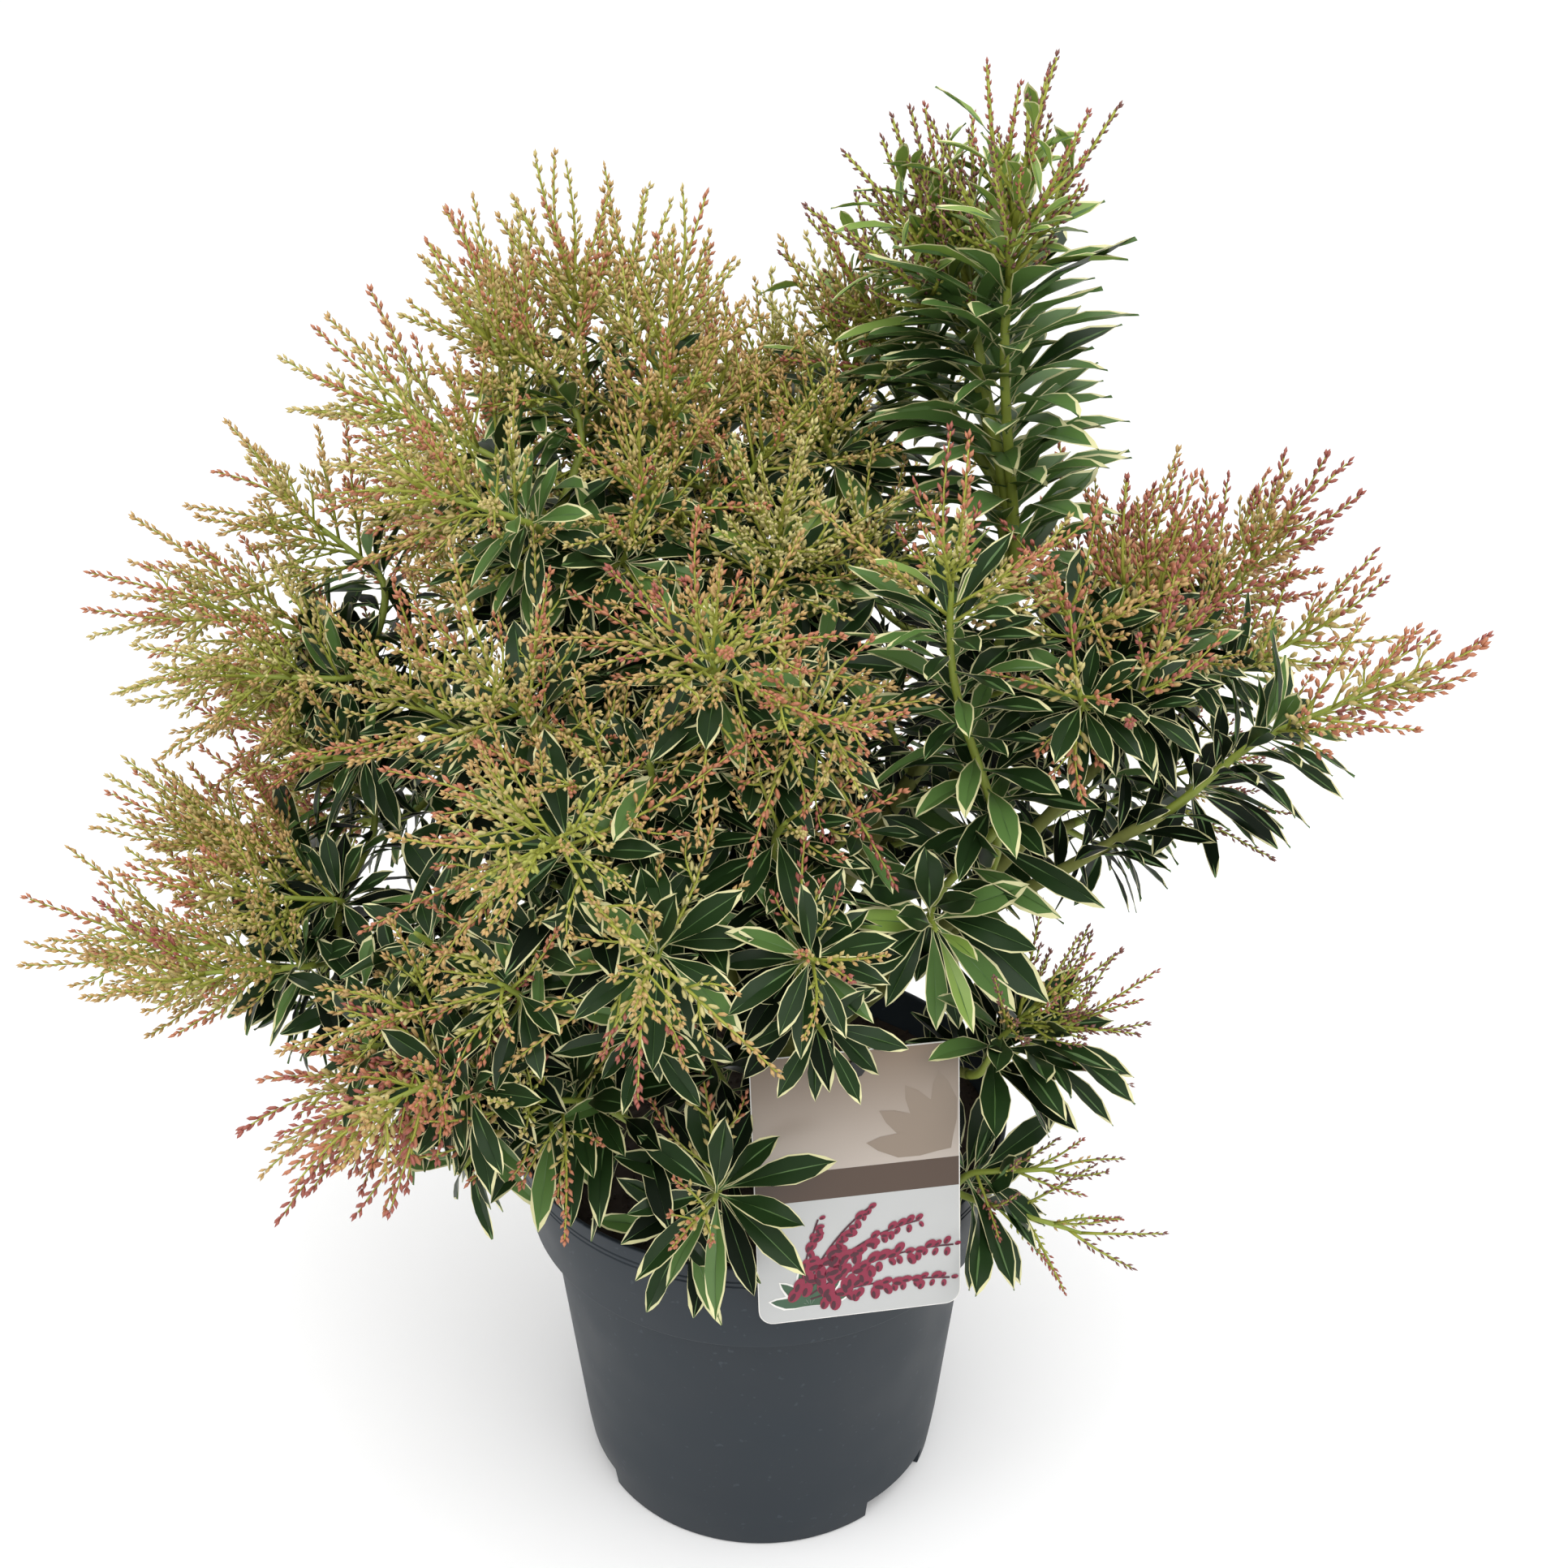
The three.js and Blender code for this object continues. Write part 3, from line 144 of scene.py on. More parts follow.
# A mass's shoots, and where it isn't like the rest: how much longer its leaves and racemes are, its share
# of this year's leaves, the lean of its older leaves, the leaves of a rosette, the young leaves of a spike
# and of a long raceme, how much thicker its racemes are, and the finer shoots that fork off each shoot:
# how many, how many of them with blossom, how far beside its rosette and how far below it.
Mass = namedtuple(
    "Mass", "name shoots leaf blossom this_year low_tilt rosette young on_stem stout finer",
    defaults=(1, 1, THIS_YEAR, LOW_TILT, 11, 0, 0, 1.0, (2, 1, 44, 20)))
ON_BOUGH = {"tall_shoots": "tall", "front_right": "fork"}   # the rest grow on the boughs of their own names
MASSES = (
    Mass("tall_shoots", (
        Shoot(94, 117, 700, 3, 90, 68, 165, 9, 74, 34, 26, "dusky"),
        Shoot(112, 107, 672, 22, -95, 66, 70, 8, 80, 36, 26, "dusky"),
    ), leaf=1.26, blossom=0.91, this_year=0.95, low_tilt=70, young=16,
       on_stem=3, stout=1.7, finer=(1, 1, 30, 14)),
    Mass("front_right", (
        Shoot(43, 128, 580, 4, 0, 57, 115, 5, 67, 52, 12, "salmon"),
        Shoot(40, 132, 424, 88, 15, 68, 20, 0, 56, 40, 0, "salmon"),
    ), leaf=1.1, this_year=0.45, low_tilt=82, young=3, finer=(0, 0, 0, 0)),
    Mass("right_middle", (
        Shoot(81, 188, 534, 12, 90, 55, 25, 8, 62, 48, 22, "rose", curl=0.12),
        Shoot(71, 158, 552, 20, -40, 53, 15, 6, 60, 60, 12, "rose", curl=0.12),
    ), blossom=0.88, low_tilt=76, finer=(2, 2, 36, 12)),
    Mass("right_low", (
        Shoot(74, 258, 514, 58, 78, 57, 20, 8, 64, 38, 30, "rose"),
        Shoot(79, 224, 468, 82, 85, 58, 25, 0, 56, 40, 0, "rose"),
    ), leaf=0.98, blossom=0.86, low_tilt=62, finer=(0, 0, 0, 0)),
    Mass("right_back", (
        Shoot(103, 240, 514, 36, 98, 57, 25, 9, 68, 48, 30, "rose", curl=0.12),
        Shoot(99, 198, 526, 6, 60, 53, 20, 6, 58, 42, 16, "salmon", curl=0.12),
    ), blossom=0.92, finer=(2, 2, 34, 4)),
    Mass("low_right", (
        Shoot(51, 160, 362, 34, 60, 58, 25, 7, 54, 42, 16, "dusky"),
    ), leaf=1.22, this_year=0.1, finer=(1, 1, 26, 0)),
    Mass("lowest_right", (
        Shoot(49, 158, 254, 90, 64, 52, 18, 7, 52, 50, 34, "dusky"),
    ), leaf=1.3, blossom=0.9, this_year=0.1, finer=(1, 1, 24, 4)),
    Mass("front_centre", (
        Shoot(9, 165, 446, 62, 10, 66, 22, 4, 46, 50, 12, "salmon"),
        Shoot(5, 124, 488, 45, 20, 66, 18, 3, 54, 45, 12, "salmon"),
    ), leaf=0.86, finer=(1, 0, 40, 20)),
    Mass("front_low", (
        Shoot(-7, 158, 305, 66, -4, 66, 22, 2, 65, 70, 8, "salmon"),
        Shoot(-32, 166, 350, 60, -40, 61, 18, 7, 76, 58, 22, "salmon"),
    ), leaf=1.06, this_year=0.1, finer=(0, 0, 0, 0)),
    Mass("front_upper", (
        Shoot(-9, 106, 555, 42, -4, 59, 20, 10, 78, 72, 18, "salmon", curl=-0.08),
    ), finer=(3, 1, 44, 18)),
    Mass("front_left", (
        Shoot(-28, 176, 500, 52, -30, 64, 20, 8, 86, 74, 14, "salmon", curl=-0.05),
        Shoot(-13, 184, 458, 74, -10, 64, 18, 5, 71, 70, 12, "salmon", curl=-0.1),
    ), finer=(2, 0, 44, 20)),
    Mass("left_front", (
        Shoot(-64, 156, 514, 48, -66, 57, 20, 6, 73, 58, 16, "peach"),
        Shoot(-46, 142, 534, 42, -45, 57, 20, 7, 76, 62, 16, "peach"),
    ), finer=(3, 1, 44, 38)),
    Mass("lower_left", (
        Shoot(-47, 200, 368, 96, -62, 57, 18, 9, 74, 50, 28, "rose", curl=-0.16),
        Shoot(-43, 205, 404, 58, -45, 55, 18, 7, 73, 60, 18, "salmon", curl=-0.16),
        Shoot(-60, 172, 428, 52, -62, 57, 20, 0, 60, 50, 0, "salmon", curl=-0.16),
    ), blossom=0.9, finer=(4, 1, 44, -8)),
    Mass("left_low", (
        Shoot(-76, 256, 384, 84, -84, 55, 18, 11, 80, 42, 34, "salmon", curl=0.16),
        Shoot(-82, 232, 422, 72, -88, 55, 18, 8, 82, 36, 28, "peach", curl=0.16),
    ), blossom=0.9, finer=(3, 2, 36, 18)),
    Mass("left_middle", (
        Shoot(-97, 226, 518, 76, -95, 57, 20, 11, 88, 46, 34, "peach", curl=-0.1),
        Shoot(-92, 222, 476, 76, -88, 57, 20, 5, 61, 45, 16, "salmon", curl=-0.1),
    ), blossom=0.94, finer=(3, 3, 40, 18)),
    Mass("upper_left", (
        Shoot(-89, 122, 622, 60, -92, 62, 60, 11, 74, 54, 34, "peach", curl=0.04),
        Shoot(-62, 70, 584, 40, 30, 64, 25, 4, 58, 45, 10, "salmon", curl=0.04),
    ), blossom=0.94, this_year=0.45, finer=(3, 3, 42, 16)),
    Mass("top_left", (
        Shoot(-124, 102, 654, 8, -110, 55, 20, 12, 64, 44, 26, "brown", curl=0.16),
        Shoot(-112, 48, 618, 14, 10, 53, 18, 8, 67, 60, 14, "brown", curl=0.16),
    ), leaf=0.78, blossom=0.94, this_year=0.6, rosette=7, stout=1.15, finer=(4, 4, 42, 6)),
    Mass("top_centre", (
        Shoot(148, 86, 634, 5, -60, 57, 25, 10, 61, 48, 16, "cream"),
    ), this_year=0.5, young=4, finer=(3, 3, 44, 20)),
    Mass("centre", (
        Shoot(25, 22, 568, 22, 10, 57, 20, 9, 67, 62, 16, "cream"),
    ), this_year=0.35, young=3, finer=(3, 2, 44, 18)),
    Mass("back_top", (
        Shoot(-168, 116, 596, 24, -165, 57, 20, 8, 69, 50, 18, "peach"),
    )),
    Mass("back_right", (
        Shoot(126, 212, 470, 46, 124, 61, 22, 8, 86, 48, 26, "rose"),
        Shoot(142, 204, 412, 78, 145, 61, 20, 5, 69, 50, 16, "salmon"),
    ), finer=(1, 0, 30, 6)),
    Mass("back_right_low", (
        Shoot(110, 228, 400, 76, 108, 64, 22, 7, 78, 46, 20, "dusky"),
    ), finer=(0, 0, 0, 0)),
    Mass("back", (
        Shoot(176, 186, 548, 38, 176, 59, 22, 9, 82, 50, 24, "peach"),
        Shoot(158, 196, 498, 60, 155, 61, 20, 6, 73, 52, 16, "salmon"),
    )),
    Mass("back_low", (
        Shoot(-177, 236, 402, 78, -178, 62, 22, 8, 80, 46, 22, "salmon"),
        Shoot(162, 222, 376, 84, 158, 62, 20, 5, 71, 50, 16, "rose"),
    )),
    Mass("back_left", (
        Shoot(-138, 206, 512, 48, -136, 59, 22, 9, 87, 48, 26, "peach"),
        Shoot(-155, 194, 466, 66, -156, 59, 20, 6, 74, 52, 16, "salmon"),
    ), finer=(3, 3, 40, 20)),
    Mass("back_left_low", (
        Shoot(-120, 246, 396, 80, -116, 62, 22, 9, 91, 46, 28, "rose"),
        Shoot(-143, 228, 372, 84, -146, 62, 20, 5, 73, 50, 16, "salmon"),
    )),
)

MASS_NODES = tuple("foliage_" + mass.name for mass in MASSES)
LIMB_NODES = tuple(bough.name for bough in BOUGHS)

BOUGH = Sizes(knee=0.42, steps=40, sides=12)   # the knee is the share of its reach at which it is bent
LEAVING = 0.3              # share of a twig's reach over which it keeps its bough's heading
ARRIVING = 0.4             # share over which it settles into its rosette's heading
FORK = 0.3                 # share of a mass's first twig at which the others leave it
SHORTEST_SPIKE = 6

# In these tables angles are degrees, a pair of limits is what a random number lies between, and "low" and
# "high" are the values at the foot and at the tip of a shoot's spike, a raceme or a printed spray.
LEAVES = Sizes(
    rosette_run=13, spacing=2.5, run=2.6, reach_share=0.85,
    top_tilt=54, tilt_varies=10, length=0.78, varies=0.15,
    bough_share=0.5, bough_spacing=4.2, bough_tilt=86, bough_length=52, bough_lift=0.4,
    top_droop=0.06, low_droop=0.26, droop_varies=(0.4, 1.3), bough_droop=(0.5, 1.6), lift=0.25,
    to_light=0.9, old_from=0.5, old_at=45, leaning=0.6, half_width=0.14, long_run=100, nearest=0.02
)
YOUNG_LEAF = Sizes(
    length=50, varies=(0.9, 1.1), low_length=1.15, high_length=0.75, tilt=34, low_tilt=1.9, high_tilt=0.7,
    tilt_varies=6, first_at=2, first_turn=1.0, droop=0.1, stem_first=0.28, stem_last=0.62, stem_tilt=46,
    stem_length=(0.5, 0.75)
)
TWIG = Sizes(foot=2.7, tip=1.6, steps=12, spike_middle=0.85, spike_end=0.6, sides=8, relief=0.5)
ANY_TURN = (0, 6)          # radians
SIDE_TWIG = Sizes(
    first=0.5, last=0.94, length=48, varies=(0.75, 1.15), lean=58, leaves=9, leaf=54, lift=0.35,
    leafy=0.7, foot=1.8, tip=1.3, steps=7
)
SIDE_TWIGS = {             # how many finer twigs each bough carries, where the crown has room for them
    "bough_tall": 3, "bough_front_upper": 3, "bough_front_centre": 2, "bough_front_low": 2,
    "bough_front_left": 4, "bough_left_low": 8, "bough_lower_left": 7, "bough_upper_left": 4,
    "bough_left_front": 5, "bough_left_middle": 4, "bough_top_left": 2, "bough_back_left": 3,
    "bough_back_left_low": 2, "bough_back": 4, "bough_back_low": 3, "bough_back_top": 3,
    "bough_back_right": 3, "bough_back_right_low": 2, "bough_top_centre": 4, "bough_centre": 3,
    "bough_right_middle": 1, "bough_right_back": 2,
}
BARE_BOUGHS = {"bough_right_middle": 0.22, "bough_right_low": 0.36, "bough_fork": 0.25,
               "bough_low_right": 0.3, "bough_top_left": 0.3}
BOUGH_TILT = {"bough_right_low": 48, "bough_right_middle": 60}   # boughs whose leaves lie forward
SLIM = {"young": 0.72, "fresh": 0.85}   # how much narrower this year's leaves are
FINER_SHOOT = Sizes(
    fork=0.45, lean=24, share=0.85, leaf=50, run=14, turn_varies=0.15, aside_varies=(0.85, 1.15),
    next_turn=90
)

RACEMES = Sizes(
    more=1.2, first_at=-3, spike=1.5, low_spread=1.25, high_spread=0.25,
    tilt_varies=9, turn_varies=18, low_length=1.12, high_length=0.84, varies=0.15,
    bow=0.08, side_from=54, side_at=(0.14, 0.27, 0.42), side_at_varies=(0.85, 1.15), side_first=0.5,
    side_last=0.3, side_varies=(0.85, 1.1), side_angle=38, side_angle_varies=(0.8, 1.15),
    side_rise=(-0.5, 0.5), side_bow=0.1, side_radius=0.75, thinnest=0.42, steps=6, sides=3,
    smooth=100.0
)
BUDS = Sizes(
    first=0.16, low_spacing=2.5, high_spacing=1.65, low_length=6.4, high_length=4.7,
    length_varies=(0.88, 1.1), spacing_varies=(0.85, 1.15), closing_up=1.5, side_size=0.9,
    low_stalk=2.3, high_stalk=0.6, stalk_varies=(0.85, 1.2), shortest_stalk=1.6, stalk_sunk=0.5,
    low_angle=40, high_angle=22, angle_varies=(0.8, 1.2), turned_at=0.45, turned_varies=0.12,
    end_at=0.97, end_stalk=0.2, full_from=5.6
)
OPENED = {"dusky": 0.78, "rose": 1.14}   # tints whose buds are smaller and closer, or larger and wider
TINTS = {                  # weights of the bud colours on a spray: first its tip half, then its base half
    "rose": ({"rose": 5, "salmon": 3, "amber": 2}, {"salmon": 3, "amber": 3, "peach": 3, "cream": 1}),
    "salmon": ({"salmon": 4, "rose": 1, "amber": 4, "peach": 1},
               {"peach": 5, "amber": 1, "lime": 2, "cream": 2}),
    "peach": ({"salmon": 3, "amber": 4, "peach": 3}, {"peach": 5, "amber": 1, "lime": 2, "cream": 2}),
    "cream": ({"amber": 3, "peach": 4, "cream": 3}, {"peach": 3, "cream": 3, "lime": 4}),
    "dusky": ({"dusky": 7, "rose": 3}, {"lime": 5, "amber": 2, "dusky": 3}),
    "brown": ({"salmon": 2, "amber": 5, "peach": 3}, {"peach": 6, "amber": 2, "lime": 2}),
}
CLEAR = Sizes(wall=1.6, card=3.5, card_side=2.0, blossom=5.0)
SHORTER = (1.0, 0.8, 0.62)  # lengths tried before a leaf or raceme that has no room is left out
LEAF_TRIED_AT = (0.25, 0.5, 0.75, 1.0)       # places along a leaf that have to have room
RACEME_TRIED_AT = (0.35, 0.55, 0.75, 1.0)    # and along a raceme

POT = Sizes(
    collar_foot=133, collar_height=60, neck=123, knee=108, knee_height=25, foot=104.4,
    foot_inner=92, wall=2.6, floor_under=13.5, floor_top=16, pad=22, pad_flare=3,
    lines=(232, 228.5), line_depth=0.7, line_width=1.6, pad_round=0.8, floor_round=1, foot_round=1.2,
    knee_round=14, inner_knee_round=6, inner_round=2, sides=144, sharp_from=32
)
NOTCH = Sizes(count=3, first_turn=50.5, width=29, height=13.4, past=5)
DRAIN = Sizes(count=6, radius=6, circle=62, length=20, sides=24)
SOIL = Sizes(
    top=220, crown=3, grain=1.6, gap=0.9, side_gap=0.6, over_floor=0.3, rings=26, sides=72,
    lump=9, small_lump=3.5, small_share=0.6, small_at=7, sunk=0.9
)
CRUMBS = Sizes(            # the density is for each square metre of level compost
    density=42000.0, level=0.5, smallest=0.35, spin=6.283, kinds=3, half=0.5, varies=(0.75, 1.2), seed=4
)
CARD = Sizes(
    width=105, height=148, thickness=0.6, corner=8, x=50.5, y=-127, z=286.5,
    lean_back=11, turned=9.5, hole=3.2, hole_drop=9, hole_rim=0.8, edge=0.5, layer=0.1,
    band_low=0.46, band_high=0.57
)


# -------- directions and curves
def unit(vector):
    return vector / np.linalg.norm(vector)


def lerp(a, b, share):
    return a + (b - a) * share


def shares(count):
    """Even shares from 0 to 1."""
    return [k / max(count - 1, 1) for k in range(count)]


def either_way(rng, most):
    """A random number between the most and as much below 0."""
    return most * rng.uniform(-1, 1)


def place(turn, out, up):
    """The point at a turn, out from the pot's axis and up from the ground."""
    angle = math.radians(turn)
    return np.array((out * math.sin(angle), -out * math.cos(angle), up))


def pointing(lean, towards):
    """The direction that leans off the vertical towards a turn."""
    return place(towards, math.sin(math.radians(lean)), math.cos(math.radians(lean)))


def square_to(axis, guide):
    """Two directions square to an axis, the first as near the guide as can be."""
    first = unit(guide - axis * np.dot(guide, axis))
    return first, np.cross(axis, first)


def spun(axis, angle):
    """The direction square to an axis at an angle round it."""
    steep = 0.7
    guide = np.array((1.0, 0.0, 0.0)) if abs(axis[2]) > steep else UP
    first, second = square_to(axis, guide)
    return first * math.cos(angle) + second * math.sin(angle)


def tilted(axis, around, degrees):
    """The direction that leans off an axis towards a direction square to it."""
    return axis * math.cos(math.radians(degrees)) + around * math.sin(math.radians(degrees))


def bezier(knots, share):
    """The point a share of the way along a Bezier curve."""
    points = list(knots)
    while len(points) > 1:
        points = [lerp(a, b, share) for a, b in zip(points, points[1:])]
    return points[0]


def heading(knots, share):
    """The direction of a Bezier curve at a share of its way."""
    nearby = 0.02
    return unit(bezier(knots, min(share + nearby, 1)) - bezier(knots, max(share - nearby, 0)))


def seeded(name):
    """Random numbers that are the same at each run, from a node's name."""
    return np.random.default_rng([ord(letter) for letter in name])


# -------- limbs and twigs
Limb = namedtuple("Limb", "name knots reach foot tip")
Twig = namedtuple("Twig", "shoot knots axis reach spike")


def limb_of(name, knots, foot, tip):
    return Limb(name, knots, float(np.linalg.norm(knots[-1] - knots[0])), foot, tip)


@functools.lru_cache(maxsize=None)
def all_limbs():
    """The trunk and the boughs, each grown from its place on the one that carries it."""
    base = np.array((0.0, 0.0, TRUNK.base))
    head = base + np.array((*TRUNK.lean, TRUNK.height), float)
    limbs = {"trunk": limb_of("trunk", (base, head), TRUNK.waist, TRUNK.top)}
    for bough in BOUGHS:
        share = (bough.at - TRUNK.base) / TRUNK.height if bough.on == "trunk" else bough.at
        root = bezier(limbs[bough.on].knots, share)
        tip = place(bough.turn, bough.out, bough.up)
        middle = lerp(root, tip, BOUGH.knee)
        middle[2] += (tip[2] - root[2]) * bough.rise
        limbs[bough.name] = limb_of(bough.name, (root, middle, tip), bough.foot, bough.tip)
    return limbs


def twig_to(shoot, start, ahead):
    """The twig that leaves a start, bends to its rosette and runs on straight as the spike."""
    centre = place(shoot.turn, shoot.out, shoot.up)
    return bent_twig(shoot, start, ahead, centre, pointing(shoot.lean, shoot.towards))


def bent_twig(shoot, start, ahead, centre, axis):
    """A twig from a start to a rosette's centre, where it has the axis's heading."""
    reach = float(np.linalg.norm(centre - start))
    knots = (start, start + ahead * LEAVING * reach, centre - axis * ARRIVING * reach, centre)
    spike = shoot.spike * RACEMES.spike if shoot else 0
    return Twig(shoot, knots, axis, reach, max(spike, SHORTEST_SPIKE))


def finer_twigs(twig, count, blooming, aside, below, rng):
    """The smaller shoots that fork off a shoot and spread round it, a little below its own rosette."""
    grown = []
    usual = FINER_SHOOT
    shoot = twig.shoot
    start = bezier(twig.knots, usual.fork)
    for k in range(count):
        angle = 2 * math.pi * (k + rng.uniform(-usual.turn_varies, usual.turn_varies)) / count
        around = spun(twig.axis, angle + math.radians(shoot.turn))
        centre = twig.knots[-1] + around * aside * rng.uniform(*usual.aside_varies) - twig.axis * below
        axis = tilted(twig.axis, around, usual.lean)
        blossom = usual.share if k < blooming else 0
        smaller = shoot._replace(
            racemes=round(shoot.racemes * blossom), raceme=shoot.raceme * usual.share,
            spike=shoot.spike * blossom, leaf=usual.leaf, run=usual.run,
            turn=shoot.turn + usual.next_turn * (k + 1))
        grown.append(bent_twig(smaller, start, unit(centre - start), centre, axis))
    return grown


@functools.lru_cache(maxsize=None)
def mass_twigs():
    """The twigs of each mass: the first goes on from its bough's tip, and the others fork from it."""
    grown = {}
    for mass in MASSES:
        knots = all_limbs()["bough_" + ON_BOUGH.get(mass.name, mass.name)].knots
        main = twig_to(mass.shoots[0], knots[-1], heading(knots, 1.0))
        fork = bezier(main.knots, FORK)
        others = []
        for shoot in mass.shoots[1:]:
            aim = unit(place(shoot.turn, shoot.out, shoot.up) - fork)
            others.append(twig_to(shoot, fork, aim))
        rng = seeded(mass.name + " finer")
        blooming = [twig for twig in (main, *others) if twig.shoot.racemes > 0]
        finer = [smaller for twig in blooming for smaller in finer_twigs(twig, *mass.finer, rng)]
        grown[mass.name] = [main, *others, *finer]
    return grown


@functools.lru_cache(maxsize=None)
def side_twigs():
    """The finer twigs that the boughs carry below the masses, each with a rosette and no blossom."""
    grown = {}
    for name, count in SIDE_TWIGS.items():
        limb = all_limbs()[name]
        rng = seeded(name)
        grown[name] = []
        for k, along in enumerate(shares(count)):
            share = lerp(SIDE_TWIG.first, SIDE_TWIG.last, along)
            start = bezier(limb.knots, share)
            ahead = heading(limb.knots, share)
            around = spun(ahead, k * GOLDEN_ANGLE + rng.uniform(0, 1))
            out = unit(tilted(ahead, around, SIDE_TWIG.lean) + UP * SIDE_TWIG.lift)
            length = SIDE_TWIG.length * rng.uniform(*SIDE_TWIG.varies)
            axis = unit(out + UP * SIDE_TWIG.lift)
            grown[name].append(bent_twig(None, start, out, start + out * length, axis))
    return grown


# -------- room beside the pot and the label
def pot_radius(z):
    """The pot's outer radius at a height."""
    neck_height = POT_HEIGHT - POT.collar_height
    if z >= neck_height:
        return lerp(POT.collar_foot, POT_RIM, (z - neck_height) / POT.collar_height)
    if z >= POT.knee_height:
        return lerp(POT.knee, POT.neck, (z - POT.knee_height) / (neck_height - POT.knee_height))
    return lerp(POT.foot, POT.knee, z / POT.knee_height)


def card_matrix():
    """The card's own frame: x along its width, y up its height, z out of its printed face."""
    stand = Matrix.Rotation(math.radians(90 - CARD.lean_back), 4, "X")
    aside = Matrix.Rotation(math.radians(CARD.turned), 4, "Z")
    return Matrix.Translation((CARD.x, CARD.y, CARD.z)) @ aside @ stand


CARD_INVERSE = np.array(card_matrix().inverted())


def clear_of_pot(point, room):
    """Whether a point is over the compost, or clear of the pot's wall on either side."""
    x, y, z = point
    if z > POT_HEIGHT + room:
        return True
    out = math.hypot(x, y)
    outside = pot_radius(max(z, 0.0)) + room
    inside = outside - POT.wall - 2 * room
    return out > outside or (out < inside and z > SOIL.top + room)


def card_side(point, room):
    """0 beside the card, 1 before it, -1 behind it, and None where a point is in it."""
    x, y, z = (CARD_INVERSE @ np.append(point, 1.0))[:3]
    beside = CLEAR.card_side
    if abs(x) > CARD.width / 2 + beside or abs(y) > CARD.height / 2 + beside:
        return 0
    if abs(z) < room:
        return None
    return 1 if z > 0 else -1


def has_room(points, room):
    """Whether a leaf or raceme misses the pot and the card, and doesn't go through the card."""
    if not all(clear_of_pot(point, room) for point in points):
        return False
    sides = [card_side(point, CLEAR.card) for point in points]
    return None not in sides and not (1 in sides and -1 in sides)


# -------- leaves
Leaf = namedtuple("Leaf", "root out face length droop green")


def leaf_points(leaf):
    """Points along a leaf's midrib and its edges."""
    side = np.cross(leaf.face, leaf.out)
    points = []
    for share in LEAF_TRIED_AT:
        middle = leaf.root + leaf.out * leaf.length * share - UP * leaf.droop * leaf.length * share ** 2
        half = LEAVES.half_width * leaf.length if share < 1 else 0
        points += [middle - side * half, middle, middle + side * half]
    return points


def fitted_leaf(leaf):
    """The leaf at the first length that has room, or None."""
    for share in SHORTER:
        shorter = leaf._replace(length=leaf.length * share)
        if has_room(leaf_points(shorter), CLEAR.wall):
            return shorter
    return None


def leaf_at(root, axis, around, tilt, lift, length, droop, green):
    """A leaf that leans off its twig, is lifted a little, and turns its upper side to the light."""
    out = unit(tilted(axis, around, tilt) + UP * lift)
    face, _ = square_to(out, axis + UP * LEAVES.to_light)
    return fitted_leaf(Leaf(root, out, face, length, droop, green))


def twig_leaves(twig, leaf_length, rosette, run, turn, this_year, low_tilt, rng):
    """A rosette of leaves at the twig's end and a spiral of older ones back along it."""
    close = np.linspace(0, LEAVES.rosette_run, rosette, endpoint=False)
    older = np.arange(LEAVES.rosette_run, run, LEAVES.spacing)
    leaves = []
    for k, back in enumerate((*close, *older)):
        share = max(1 - back / twig.reach, LEAVES.nearest)
        axis = unit(heading(twig.knots, share) + twig.axis * share)
        age = min(back / LEAVES.old_at, 1.0)
        around = spun(axis, k * GOLDEN_ANGLE + turn)
        tilt = lerp(LEAVES.top_tilt, low_tilt, age ** LEAVES.leaning)
        tilt += either_way(rng, LEAVES.tilt_varies)
        lift = LEAVES.lift * age
        length = leaf_length * (LEAVES.length + either_way(rng, LEAVES.varies))
        droop = lerp(LEAVES.top_droop, LEAVES.low_droop, age) * rng.uniform(*LEAVES.droop_varies)
        green = "fresh" if rng.random() < this_year else "deep"
        # older leaves far back on twigs with few of this year's leaves get the painted shade green: a darker
        # leaf colour standing in for the shade inside the crown
        if back > LEAVES.old_from * run and this_year <= THIS_YEAR:
            green = "shade"
        leaves.append(leaf_at(bezier(twig.knots, share), axis, around, tilt, lift, length, droop, green))
    return leaves


def bough_leaves(limb, rng):
    """The older leaves on the outer part of a bough."""
    leaves = []
    run = limb.reach * BARE_BOUGHS.get(limb.name, LEAVES.bough_share)
    for k, back in enumerate(np.arange(2, run, LEAVES.bough_spacing)):
        share = 1 - back / limb.reach
        axis = heading(limb.knots, share)
        around = spun(axis, k * GOLDEN_ANGLE)
        tilt = BOUGH_TILT.get(limb.name, LEAVES.bough_tilt) + either_way(rng, 2 * LEAVES.tilt_varies)
        length = LEAVES.bough_length * (LEAVES.length + either_way(rng, LEAVES.varies))
        droop = LEAVES.low_droop * rng.uniform(*LEAVES.bough_droop)
        # all of a bough's leaves get the painted shade green, darkened for the shade under the masses
        leaves.append(leaf_at(bezier(limb.knots, share), axis, around, tilt, LEAVES.bough_lift, length,
                              droop, "shade"))
    return leaves


def young_leaves(twig, count, rng):
    """Upright pale young leaves on a spike, among the racemes."""
    leaves = []
    young = YOUNG_LEAF
    for k, along in enumerate(shares(count)):
        around = spun(twig.axis, k * GOLDEN_ANGLE + young.first_turn)
        tilt = young.tilt * lerp(young.low_tilt, young.high_tilt, along) + either_way(rng, young.tilt_varies)
        root = twig.knots[-1] + twig.axis * lerp(young.first_at, twig.spike, along)
        length = young.length * lerp(young.low_length, young.high_length, along) * rng.uniform(*young.varies)
        leaves.append(leaf_at(root, twig.axis, around, tilt, 0, length, young.droop, "young"))
    return leaves


